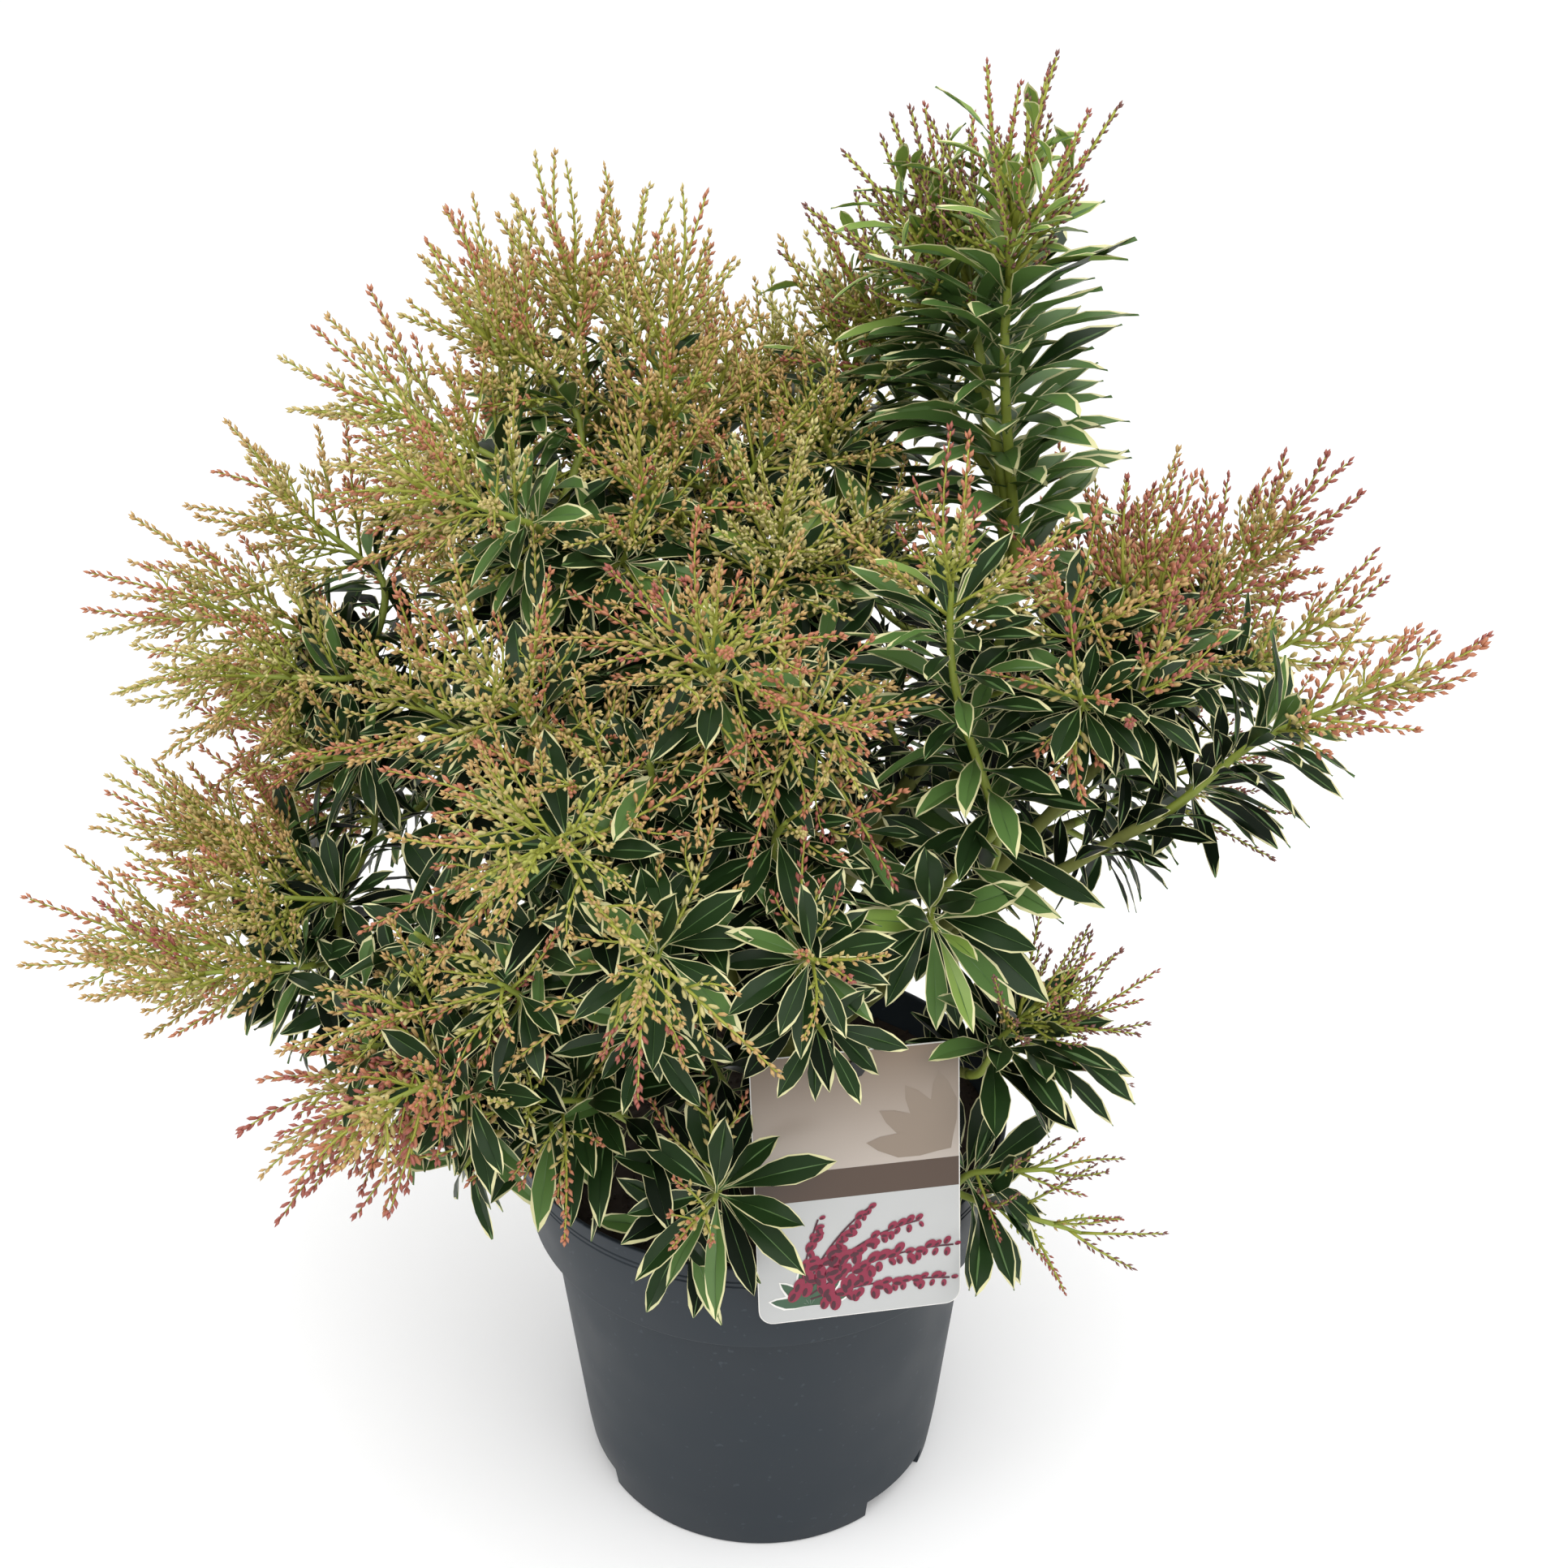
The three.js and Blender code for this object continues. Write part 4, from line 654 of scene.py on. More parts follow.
def stem_leaves(raceme, count, rng):
    """Small young leaves on the lower part of a raceme's stem."""
    leaves = []
    young = YOUNG_LEAF
    for k, along in enumerate(shares(count)):
        share = lerp(young.stem_first, young.stem_last, along)
        ahead = raceme_heading(raceme, share)
        around = spun(ahead, k * GOLDEN_ANGLE + rng.uniform(*ANY_TURN))
        tilt = young.stem_tilt + either_way(rng, LEAVES.tilt_varies)
        length = young.length * rng.uniform(*young.stem_length)
        leaves.append(leaf_at(raceme_point(raceme, share), ahead, around, tilt, 0, length, young.droop,
                              "young"))
    return leaves


@functools.lru_cache(maxsize=None)
def all_leaves():
    """Every leaf on the shrub that has room."""
    leaves = []
    for mass in MASSES:
        rng = seeded(mass.name)
        for order, twig in enumerate(mass_twigs()[mass.name]):
            shoot = twig.shoot
            run = min(LEAVES.run * shoot.run, LEAVES.reach_share * twig.reach)
            if order == 0 and shoot.run > LEAVES.long_run:
                run = shoot.run
            leaves += twig_leaves(twig, shoot.leaf * mass.leaf, mass.rosette, run, math.radians(shoot.turn),
                                  mass.this_year, mass.low_tilt, rng)
            if order < len(mass.shoots):
                leaves += young_leaves(twig, mass.young, rng)
        for raceme in mass_racemes()[mass.name]:
            if raceme.length > RACEMES.side_from:
                leaves += stem_leaves(raceme, mass.on_stem, rng)
    for name, twigs in side_twigs().items():
        rng = seeded(name + "_leaves")
        for twig in twigs:
            run = SIDE_TWIG.leafy * twig.reach
            leaves += twig_leaves(twig, SIDE_TWIG.leaf, SIDE_TWIG.leaves, run, rng.uniform(*ANY_TURN),
                                  THIS_YEAR, LOW_TILT, rng)
    for bough in BOUGHS:
        leaves += bough_leaves(all_limbs()[bough.name], seeded(bough.name + "_leaves"))
    return [leaf for leaf in leaves if leaf is not None]


# -------- racemes of blossom
Raceme = namedtuple("Raceme", "root out side length curl bow radius colours opened")
Bud = namedtuple("Bud", "root out stalk length colour")


def raceme_point(raceme, share):
    rise = UP * raceme.curl * share ** 2
    bow = raceme.side * raceme.bow * math.sin(math.pi * share)
    return raceme.root + (raceme.out * share + rise + bow) * raceme.length


def raceme_heading(raceme, share):
    nearby = 0.03
    return unit(raceme_point(raceme, share + nearby) - raceme_point(raceme, share - nearby))


def picked(weights, rng):
    """One of the keys, drawn by its weight."""
    draw = rng.random() * sum(weights.values())
    for key, weight in weights.items():
        draw -= weight
        if draw < 0:
            return key
    return key


def fitted_raceme(raceme):
    for share in SHORTER:
        shorter = raceme._replace(length=raceme.length * share)
        if has_room([raceme_point(shorter, s) for s in RACEME_TRIED_AT], CLEAR.blossom):
            return shorter
    return None


def side_racemes(main, rng):
    """The shorter racemes that leave a long one by turns on either side, the lowest the longest."""
    if main.length < RACEMES.side_from:
        return []
    grown = []
    sign = rng.choice((-1, 1))
    for share, along in zip(RACEMES.side_at, shares(len(RACEMES.side_at))):
        share *= rng.uniform(*RACEMES.side_at_varies)
        ahead = raceme_heading(main, share)
        across, up = square_to(ahead, main.side * sign)
        around = unit(across + up * rng.uniform(*RACEMES.side_rise))
        sign = -sign
        out = tilted(ahead, around, RACEMES.side_angle * rng.uniform(*RACEMES.side_angle_varies))
        length = main.length * lerp(RACEMES.side_first, RACEMES.side_last, along)
        grown.append(main._replace(
            root=raceme_point(main, share), out=out, side=around, bow=RACEMES.side_bow,
            length=length * rng.uniform(*RACEMES.side_varies), radius=main.radius * RACEMES.side_radius))
    return grown


def shoot_racemes(twig, size, stout, rng):
    """The racemes that spread round a shoot's spike, the lowest and widest first."""
    shoot = twig.shoot
    count = round(shoot.racemes * RACEMES.more)
    grown = []
    for k, along in enumerate(shares(count)):
        spread = shoot.spread * lerp(RACEMES.low_spread, RACEMES.high_spread, along)
        turn = k * GOLDEN_ANGLE + math.radians(shoot.turn + either_way(rng, RACEMES.turn_varies))
        around = spun(twig.axis, turn)
        out = tilted(twig.axis, around, spread + either_way(rng, RACEMES.tilt_varies))
        rise = lerp(RACEMES.first_at, twig.spike, along)
        share = lerp(RACEMES.low_length, RACEMES.high_length, along)
        length = size * shoot.raceme * (share + either_way(rng, RACEMES.varies))
        tip_tints, low_tints = TINTS[shoot.tint]
        colours = (picked(tip_tints, rng), picked(low_tints, rng))
        bow = either_way(rng, RACEMES.bow)
        main = fitted_raceme(Raceme(
            twig.knots[-1] + twig.axis * rise, out, np.cross(twig.axis, around), length, shoot.curl, bow,
            stout, colours, OPENED.get(shoot.tint, 1.0)))
        if main is not None:
            grown.append(main)
            grown += [side for side in map(fitted_raceme, side_racemes(main, rng)) if side is not None]
    return grown


@functools.lru_cache(maxsize=None)
def mass_racemes():
    """The racemes of each mass."""
    grown = {}
    for mass in MASSES:
        rng = seeded(mass.name + "_blossom")
        grown[mass.name] = []
        for twig in mass_twigs()[mass.name]:
            if twig.shoot.racemes > 0:
                grown[mass.name] += shoot_racemes(twig, mass.blossom, mass.stout, rng)
    return grown


def all_racemes():
    return [raceme for racemes in mass_racemes().values() for raceme in racemes]


def raceme_buds(raceme, rng):
    """The buds on their stalks, in a spiral that closes up and points forward towards the tip."""
    buds = []
    turn = rng.uniform(0, 2 * math.pi)
    at = raceme.length * BUDS.first
    small = raceme.opened * (BUDS.side_size if raceme.length < RACEMES.side_from else 1.0)
    while at < raceme.length:
        share = at / raceme.length
        ahead = raceme_heading(raceme, share)
        turn += GOLDEN_ANGLE
        angle = lerp(BUDS.low_angle, BUDS.high_angle, share) * rng.uniform(*BUDS.angle_varies)
        out = tilted(ahead, spun(ahead, turn), angle)
        stalk = lerp(BUDS.low_stalk, BUDS.high_stalk, share) * raceme.opened
        stalk *= rng.uniform(*BUDS.stalk_varies)
        length = lerp(BUDS.low_length, BUDS.high_length, share) * small * rng.uniform(*BUDS.length_varies)
        towards_tip = share > BUDS.turned_at + either_way(rng, BUDS.turned_varies)
        colour = raceme.colours[0] if towards_tip else raceme.colours[1]
        buds.append(Bud(raceme_point(raceme, share), out, stalk, length, colour))
        spacing = lerp(BUDS.low_spacing, BUDS.high_spacing, share ** BUDS.closing_up) * raceme.opened
        at += spacing * rng.uniform(*BUDS.spacing_varies)
    end = raceme_heading(raceme, BUDS.end_at)
    buds.append(Bud(raceme_point(raceme, 1.0), end, BUDS.end_stalk, BUDS.high_length * small,
                    raceme.colours[0]))
    return buds


@functools.lru_cache(maxsize=None)
def all_buds():
    rng = seeded("buds")
    return [bud for raceme in all_racemes() for bud in raceme_buds(raceme, rng)]


# -------- node trees
def add_node(tree, kind, links=None, **settings):
    """A node with its settings; links gives its inputs another node's output or a value."""
    node = tree.nodes.new(kind)
    for name, value in settings.items():
        setattr(node, name, value)
    for name, source in (links or {}).items():
        socket = node.inputs[name]
        if isinstance(source, bpy.types.NodeSocket):
            tree.links.new(source, socket)
        else:
            socket.default_value = source
    return node


def attribute_of(tree, name, data_type):
    node = add_node(tree, "GeometryNodeInputNamedAttribute", {"Name": name}, data_type=data_type)
    return node.outputs["Attribute"]


def calculated(tree, operation, first, second):
    """The result of a sum on two numbers or sockets."""
    return add_node(tree, "ShaderNodeMath", {0: first, 1: second}, operation=operation).outputs[0]


def moved(tree, geometry, direction, length):
    """A geometry moved along a direction by a length at each point."""
    offset = add_node(tree, "ShaderNodeVectorMath", {0: direction, "Scale": length}, operation="SCALE")
    shifted = add_node(tree, "GeometryNodeSetPosition", {
        "Geometry": geometry, "Offset": offset.outputs["Vector"]})
    return shifted.outputs["Geometry"]


def realized(tree, geometry):
    return add_node(tree, "GeometryNodeRealizeInstances", {"Geometry": geometry}).outputs["Geometry"]


def smoothed(tree, geometry):
    return add_node(tree, "GeometryNodeSetShadeSmooth", {"Geometry": geometry}).outputs["Geometry"]


def instanced(tree, given, points, kind, turned, size):
    """One of the given shapes on each point, by its kind, turned and sized."""
    shapes = add_node(tree, "GeometryNodeCollectionInfo", {
        "Collection": given.outputs["Shapes"], "Separate Children": True, "Reset Children": True})
    node = add_node(tree, "GeometryNodeInstanceOnPoints", {
        "Points": points, "Instance": shapes.outputs["Instances"], "Pick Instance": True,
        "Instance Index": kind, "Rotation": turned, "Scale": size})
    return node.outputs["Instances"]


RANDOM_SOCKETS = {"FLOAT_VECTOR": 0, "FLOAT": 2, "INT": 4}   # of a random value's lower limit, by its type


def drawn(tree, given, data_type, low, high):
    """A random value at each point between two."""
    first = RANDOM_SOCKETS[data_type]
    node = add_node(tree, "FunctionNodeRandomValue", {
        first: low, first + 1: high, "Seed": given.outputs["Seed"]}, data_type=data_type)
    return node.outputs[first // 2]


def new_tree(name, inputs):
    """A tree with a geometry socket each way and the named inputs, and its input and output nodes."""
    tree = bpy.data.node_groups.new(name, "GeometryNodeTree")
    for label, kind in {"Geometry": "Geometry", **inputs}.items():
        tree.interface.new_socket(name=label, in_out="INPUT", socket_type="NodeSocket" + kind)
    tree.interface.new_socket(name="Geometry", in_out="OUTPUT", socket_type="NodeSocketGeometry")
    return tree, add_node(tree, "NodeGroupInput"), add_node(tree, "NodeGroupOutput")


def end_tree(tree, geometry, given, made):
    """Gives the geometry its material and leads it out of the tree."""
    finished = add_node(tree, "GeometryNodeSetMaterial", {
        "Geometry": geometry, "Material": given.outputs["Material"]})
    tree.links.new(finished.outputs["Geometry"], made.inputs["Geometry"])
    return tree


@functools.lru_cache(maxsize=None)
def spray_tree():
    """Sets one of a collection's shapes on each point, turned and sized by the point, and lets it sag."""
    tree, given, made = new_tree("Sprays", {"Shapes": "Collection", "Sag": "Float", "Material": "Material"})
    turned, size, root = (attribute_of(tree, name, "FLOAT_VECTOR") for name in ("turned", "size", "root"))
    kind = attribute_of(tree, "kind", "INT")
    sprays = instanced(tree, given, given.outputs["Geometry"], kind, turned, size)
    position = add_node(tree, "GeometryNodeInputPosition").outputs["Position"]
    measured = add_node(tree, "ShaderNodeVectorMath", {0: position, 1: root}, operation="DISTANCE")
    away = measured.outputs["Value"]
    squared = calculated(tree, "MULTIPLY", away, away)
    sagging = calculated(tree, "MULTIPLY", squared, attribute_of(tree, "droop", "FLOAT"))
    fall = calculated(tree, "MULTIPLY", sagging, given.outputs["Sag"])
    sagged = moved(tree, realized(tree, sprays), (0.0, 0.0, -1.0), fall)
    return end_tree(tree, smoothed(tree, sagged), given, made)


@functools.lru_cache(maxsize=None)
def stem_tree():
    """Gives each chain of edges a round skin of its own thickness, with the bark's relief on it."""
    tree, given, made = new_tree("Stems", {
        "Sides": "Int", "Relief": "Float", "Relief Scale": "Float", "Material": "Material"})
    chains = add_node(tree, "GeometryNodeMeshToCurve", {"Mesh": given.outputs["Geometry"]})
    ring = add_node(tree, "GeometryNodeCurvePrimitiveCircle", {
        "Resolution": given.outputs["Sides"], "Radius": 1.0})
    skin = add_node(tree, "GeometryNodeCurveToMesh", {
        "Curve": chains.outputs["Curve"], "Profile Curve": ring.outputs["Curve"],
        "Scale": attribute_of(tree, "thick", "FLOAT"), "Fill Caps": True})
    grain = add_node(tree, "ShaderNodeTexNoise", {
        "Scale": given.outputs["Relief Scale"], "Detail": 3.0}, noise_dimensions="3D")
    centred = calculated(tree, "SUBTRACT", grain.outputs["Fac"], 0.5)
    height = calculated(tree, "MULTIPLY", centred, given.outputs["Relief"])
    normal = add_node(tree, "GeometryNodeInputNormal").outputs["Normal"]
    relief = moved(tree, skin.outputs["Mesh"], normal, height)
    return end_tree(tree, smoothed(tree, realized(tree, relief)), given, made)


def crumb_tree():
    """Strews crumbs of compost over the faces of a surface and keeps the surface under them."""
    tree, given, made = new_tree("Crumbs", {
        "Shapes": "Collection", "Density": "Float", "Smallest": "Float", "Largest": "Float", "Seed": "Int",
        "Material": "Material"})
    up = add_node(tree, "ShaderNodeSeparateXYZ", {
        0: add_node(tree, "GeometryNodeInputNormal").outputs["Normal"]})
    level = calculated(tree, "GREATER_THAN", up.outputs["Z"], CRUMBS.level)
    spots = add_node(tree, "GeometryNodeDistributePointsOnFaces", {
        "Mesh": given.outputs["Geometry"], "Selection": level, "Density": given.outputs["Density"],
        "Seed": given.outputs["Seed"]})
    kind = drawn(tree, given, "INT", 0, CRUMBS.kinds)
    spin = drawn(tree, given, "FLOAT_VECTOR", (0.0, 0.0, 0.0), (CRUMBS.spin,) * 3)
    size = drawn(tree, given, "FLOAT", given.outputs["Smallest"], given.outputs["Largest"])
    crumbs = instanced(tree, given, spots.outputs["Points"], kind, spin, size)
    together = add_node(tree, "GeometryNodeJoinGeometry")
    tree.links.new(given.outputs["Geometry"], together.inputs[0])
    tree.links.new(crumbs, together.inputs[0])
    return end_tree(tree, realized(tree, together.outputs["Geometry"]), given, made)


def strip_attributes(mesh):
    """Removes what the trees wrote on a mesh for their own use."""
    for name in [attribute.name for attribute in mesh.attributes]:
        attribute = mesh.attributes[name]
        if not (attribute.is_required or attribute.is_internal or name in ("material_index", "sharp_face")):
            mesh.attributes.remove(attribute)


def placed(name, data):
    """A new object in the scene."""
    piece = bpy.data.objects.new(name, data)
    bpy.context.scene.collection.objects.link(piece)
    return piece


def grown_object(name, mesh, tree, values):
    """A plain object with the mesh that a tree makes of another."""
    piece = placed(name, mesh)
    modifier = piece.modifiers.new("Growth", "NODES")
    modifier.node_group = tree
    for socket in tree.interface.items_tree:
        if socket.in_out == "INPUT" and socket.name in values:
            modifier[socket.identifier] = values[socket.name]
    evaluated = piece.evaluated_get(bpy.context.evaluated_depsgraph_get())
    grown = bpy.data.meshes.new_from_object(evaluated)
    piece.modifiers.remove(modifier)
    piece.data = grown
    grown.name = name
    bpy.data.meshes.remove(mesh)
    strip_attributes(grown)
    if not 0 < triangle_count(grown) < PIECE_LIMIT:
        raise RuntimeError(f"{name} has {triangle_count(grown)} triangles")
    return piece


def triangle_count(mesh):
    return sum(len(polygon.vertices) - 2 for polygon in mesh.polygons)


def with_columns(mesh, **columns):
    """Writes named values on a mesh's points: whole numbers, numbers or vectors."""
    for name, column in columns.items():
        values = np.asarray(column)
        if values.dtype.kind == "i":
            kind, field, stored = "INT", "value", np.int32
        else:
            kind, field, stored = "FLOAT", "value", np.float32
        if values.ndim == 2:
            kind, field = "FLOAT_VECTOR", "vector"
        mesh.attributes.new(name, kind, "POINT").data.foreach_set(field, values.astype(stored).ravel())
    return mesh


def points_mesh(places, **columns):
    mesh = bpy.data.meshes.new("points")
    mesh.vertices.add(len(places))
    mesh.vertices.foreach_set("co", np.asarray(places, np.float32).ravel() * MM)
    return with_columns(mesh, **columns)


def chains_mesh(chains):
    """Chains of points, each joined by edges; a chain is a list of (point, radius)."""
    points = []
    thick = []
    edges = []
    for chain in chains:
        first = len(points)
        edges += [(first + i, first + i + 1) for i in range(len(chain) - 1)]
        points += [point for point, _ in chain]
        thick += [radius * MM for _, radius in chain]
    mesh = bpy.data.meshes.new("chains")
    mesh.from_pydata((np.array(points) * MM).tolist(), edges, [])
    return with_columns(mesh, thick=thick)


def shape_collection(name, shapes):
    """A collection, outside the scene, of shapes that a tree picks by their order."""
    collection = bpy.data.collections.new(name)
    for k, (points, faces) in enumerate(shapes):
        mesh = bpy.data.meshes.new(f"{name}_{k}")
        mesh.from_pydata([tuple(map(float, point)) for point in points], [], faces)
        collection.objects.link(bpy.data.objects.new(f"{name}_{k}", mesh))
    return collection


def drop_collection(collection):
    for shape in list(collection.objects):
        bpy.data.meshes.remove(shape.data)
    bpy.data.collections.remove(collection)


# -------- finishing pieces
def finish(name, colour, roughness, ior=None):
    """A material of one colour and roughness all over; a low index of refraction dulls its sheen."""
    material = bpy.data.materials.new(name)
    material.use_nodes = True
    shader = material.node_tree.nodes["Principled BSDF"]
    shader.inputs["Base Color"].default_value = colour
    shader.inputs["Roughness"].default_value = roughness
    if ior is not None:
        shader.inputs["IOR"].default_value = ior
    return material


def noise_over(tree, scale, detail=2.0):
    """Noise over a piece, with about as many bumps in a metre as the scale says."""
    where = add_node(tree, "ShaderNodeTexCoord").outputs["Object"]
    node = add_node(tree, "ShaderNodeTexNoise", {"Vector": where, "Scale": scale, "Detail": detail})
    return node.outputs["Fac"]


def height_in(tree, space):
    """How high a place is, on a piece or in the sky."""
    where = add_node(tree, "ShaderNodeTexCoord").outputs[space]
    return add_node(tree, "ShaderNodeSeparateXYZ", {0: where}).outputs["Z"]


def ranged(tree, value, low, high, to_low=0.0, to_high=1.0):
    """A value's way from a low to a high limit, laid between two others."""
    node = add_node(tree, "ShaderNodeMapRange", {
        "Value": value, "From Min": low, "From Max": high, "To Min": to_low, "To Max": to_high})
    return node.outputs["Result"]


def blended(material, share, low, high):
    """Lets a material's colour run from a low to a high one by a share."""
    tree = material.node_tree
    mixed = add_node(tree, "ShaderNodeMix", {0: share, 6: tuple(low), 7: tuple(high)}, data_type="RGBA")
    tree.links.new(mixed.outputs[2], tree.nodes["Principled BSDF"].inputs["Base Color"])
    return material


def darker(colour, share):
    return tuple(c * share for c in colour[:3]) + (1.0,)


def settle(piece, nodes=()):
    """Sets a finished piece on the shrub's one body, in place of its solids."""
    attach(piece, BODY)
    if nodes:
        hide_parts(*nodes)


def spray_piece(name, mesh, shapes, sag, material):
    """A piece of leaves or blossom, with one of the shapes on each point."""
    piece = grown_object(name, mesh, spray_tree(), {"Shapes": shapes, "Sag": sag, "Material": material})
    settle(piece, MASS_NODES)


def stem_piece(name, chains, nodes, sides, relief, scale, material):
    """A piece of stems, one along each chain."""
    piece = grown_object(name, chains_mesh(chains), stem_tree(), {
        "Sides": sides, "Relief": relief, "Relief Scale": scale, "Material": material})
    settle(piece, nodes)


def mesh_object(name, points, faces, material):
    """An object from points in millimetres and faces, its faces turned outwards."""
    apart = 0.01 * MM
    mesh = bpy.data.meshes.new(name)
    mesh.from_pydata([tuple(float(c) * MM for c in point) for point in points], [], faces)
    work = bmesh.new()
    work.from_mesh(mesh)
    bmesh.ops.remove_doubles(work, verts=work.verts, dist=apart)
    bmesh.ops.recalc_face_normals(work, faces=work.faces)
    work.to_mesh(mesh)
    work.free()
    mesh.materials.append(material)
    return placed(name, mesh)


# -------- properties
def distance(name, description, millimetres):
    return bpy.props.FloatProperty(
        name=name, description=description, default=millimetres * MM, min=0.0, subtype="DISTANCE",
        unit="LENGTH")


def colour(name, thing, hex_colour):
    return bpy.props.FloatVectorProperty(
        name=name, description="Colour of " + thing, default=linear(hex_colour), size=4, min=0.0, max=1.0,
        subtype="COLOR")


def number(name, description, usual, least=0.0, **more):
    return bpy.props.FloatProperty(name=name, description=description, default=usual, min=least, **more)


class PierisPot(bpy.types.PropertyGroup):
    lip: distance("Lip Rounding", "Radius of the rounding on the pot's lip", 1.1)
    step: distance("Collar Rounding", "Radius of the rounding where the collar steps out", 1.4)
    plastic: colour("Plastic", "the pot's plastic", "#20282f")
    dust: colour("Dust", "the dust and dried splashes on the pot", "#3d464d")
    compost: colour("Compost", "the moist compost", "#33251b")
    crumb: distance("Crumb", "Size of the largest crumbs of compost", 5.0)


class PierisWood(bpy.types.PropertyGroup):
    relief: distance("Bark Relief", "Height of the bark's relief", 1.2)
    grain: distance("Bark Grain", "Width of the bumps in the bark", 4.0)
    old_bark: colour("Old Bark", "the bark on the trunk", "#6b5e49")
    young_bark: colour("Young Bark", "the smooth bark on the boughs", "#7f8440")
    twig: colour("Twig", "this year's twigs", "#8c9a3c")


class PierisLeaves(bpy.types.PropertyGroup):
    width: number("Width Share", "Greatest width of a leaf, as a share of its length", 0.26, 0.1, max=0.6,
                  subtype="FACTOR")
    margin: distance("Margin Width", "Width of the pale margin on a leaf 60 mm long", 0.52)
    new_margin: number("New Margin Share", "How much wider the margin is on this year's leaves", 1.6, 0.5,
                       max=4.0)
    sag: number("Sag", "How far the leaves sag, 1 for the usual amount", 1.0, max=3.0)
    deep: colour("Deep Green", "the older leaves", "#1f3417")
    fresh: colour("Fresh Green", "this year's full-grown leaves", "#53723a")
    # the shade green is painted shade: a darker copy of the leaf green for the leaves inside the crown
    shade: colour("Shade Green", "the leaves inside the crown", "#0c1809")
    young: colour("Young Green", "the youngest leaves", "#7b9642")
    cream: colour("Margin", "the leaves' margins", "#dcd8a4")
    rib: colour("Midrib", "the leaves' midribs", "#55743f")


class PierisBlossom(bpy.types.PropertyGroup):
    stem: distance("Stem Radius", "Radius of a raceme's stem at its foot", 1.05)
    stalk: distance("Stalk Radius", "Radius of a bud's stalk", 0.32)
    slimness: number("Bud Width Share", "Greatest width of a bud, as a share of its length", 0.37, 0.2,
                     max=1.0, subtype="FACTOR")
    green: colour("Stem Green", "the racemes' stems", "#a4aa44")
    rose: colour("Rose", "the pinkest buds", "#9d584b")
    salmon: colour("Salmon", "the salmon buds", "#b57556")
    amber: colour("Amber", "the buds between salmon and peach", "#bc9a62")
    peach: colour("Peach", "the peach buds", "#bfad6e")
    cream: colour("Cream", "the cream buds", "#c9bf80")
    lime: colour("Lime", "the greenest buds", "#a5a84f")
    dusky: colour("Dusky", "the darkest buds", "#7b5048")


class PierisLabel(bpy.types.PropertyGroup):
    board: colour("Board", "the card's bare edge", "#e9e7e2")
    sky_low: colour("Ground, Low", "the foot of the printed ground", "#b4a99f")
    sky_high: colour("Ground, High", "the head of the printed ground", "#7c6a58")
    band: colour("Band", "the printed band", "#4c3a2d")
    pale: colour("Pale Field", "the field behind the sprig", "#b9bab9")
    blossom: colour("Printed Blossom", "the printed blossom", "#851638")
    blossom_dark: colour("Printed Shade", "the shaded printed blossom", "#430b1e")
    leaf: colour("Printed Leaf", "the printed leaves", "#35553c")
    shadow: colour("Printed Shadow", "the leaf shadows over the band", "#8a7b6c")


class PierisStage(bpy.types.PropertyGroup):
    floor: colour("Floor", "the floor", "#f8f8f8")
    key: number("Key Light", "Power of the large light over the front", 26.0, subtype="POWER", unit="POWER")
    fill: number("Fill Light", "Power of the light from the side", 10.0, subtype="POWER", unit="POWER")
    high_sky: number("High Sky", "Strength of the white sky overhead", 1.6)
    low_sky: number("Low Sky", "Strength of the white sky at the horizon", 0.2)
    lens: number("Lens", "Focal length of the camera, in millimetres", 44.7, 10.0)


# -------- pot and compost
def rounded(corners):
    """A profile with arcs at its corners; a corner is (radius, height, rounding)."""
    most = 0.45                # share of a side that an arc may take up
    profile = []
    for k, (x, z, rounding) in enumerate(corners):
        corner = np.array((x, z), float)
        if rounding == 0:
            profile.append(tuple(corner))
            continue
        before = np.array(corners[k - 1][:2], float) - corner
        after = np.array(corners[k + 1][:2], float) - corner
        reach = min(rounding, most * np.linalg.norm(before), most * np.linalg.norm(after))
        start = corner + unit(before) * reach
        end = corner + unit(after) * reach
        profile += [tuple(bezier((start, corner, end), share)) for share in shares(6)]
    return profile


def turned_mesh(profile, sides):
    """Points and faces of a profile turned round the upright axis, from one end on it to the other."""
    points = []
    faces = []
    for x, z in profile:
        for k in range(sides):
            angle = 2 * math.pi * k / sides
            points.append((x * math.cos(angle), x * math.sin(angle), z))
    for row in range(len(profile) - 1):
        for k in range(sides):
            a, b = row * sides + k, row * sides + (k + 1) % sides
            faces.append((a, b, b + sides, a + sides))
    return points, faces


def pot_profile(lip, step):
    """Half the pot's section, from the middle of its underside round the wall to the middle of its floor."""
    rim, height = POT_RIM, POT_HEIGHT
    neck = height - POT.collar_height
    lines = []
    for z in sorted(POT.lines):
        half = POT.line_width / 2
        lines += [(pot_radius(z - half), z - half, 0), (pot_radius(z) - POT.line_depth, z, 0),
                  (pot_radius(z + half), z + half, 0)]
    wall, floor_round, inner_round = POT.wall, POT.floor_round, POT.inner_round
    return rounded([
        (0, 0, 0), (POT.pad, 0, POT.pad_round), (POT.pad + POT.pad_flare, POT.floor_under, floor_round),
        (POT.foot_inner, POT.floor_under, floor_round), (POT.foot_inner, 0, floor_round),
        (POT.foot, 0, POT.foot_round), (POT.knee, POT.knee_height, POT.knee_round),
        (POT.neck, neck, step), (POT.collar_foot, neck, step),
        *lines, (rim, height, lip), (rim - wall, height, lip),
        (POT.collar_foot - wall, neck + wall, inner_round), (POT.neck - wall, neck - wall, inner_round),
        (POT.knee - wall, POT.knee_height, POT.inner_knee_round),
        (POT.knee - 2 * wall, POT.floor_top, inner_round), (0, POT.floor_top, 0)])


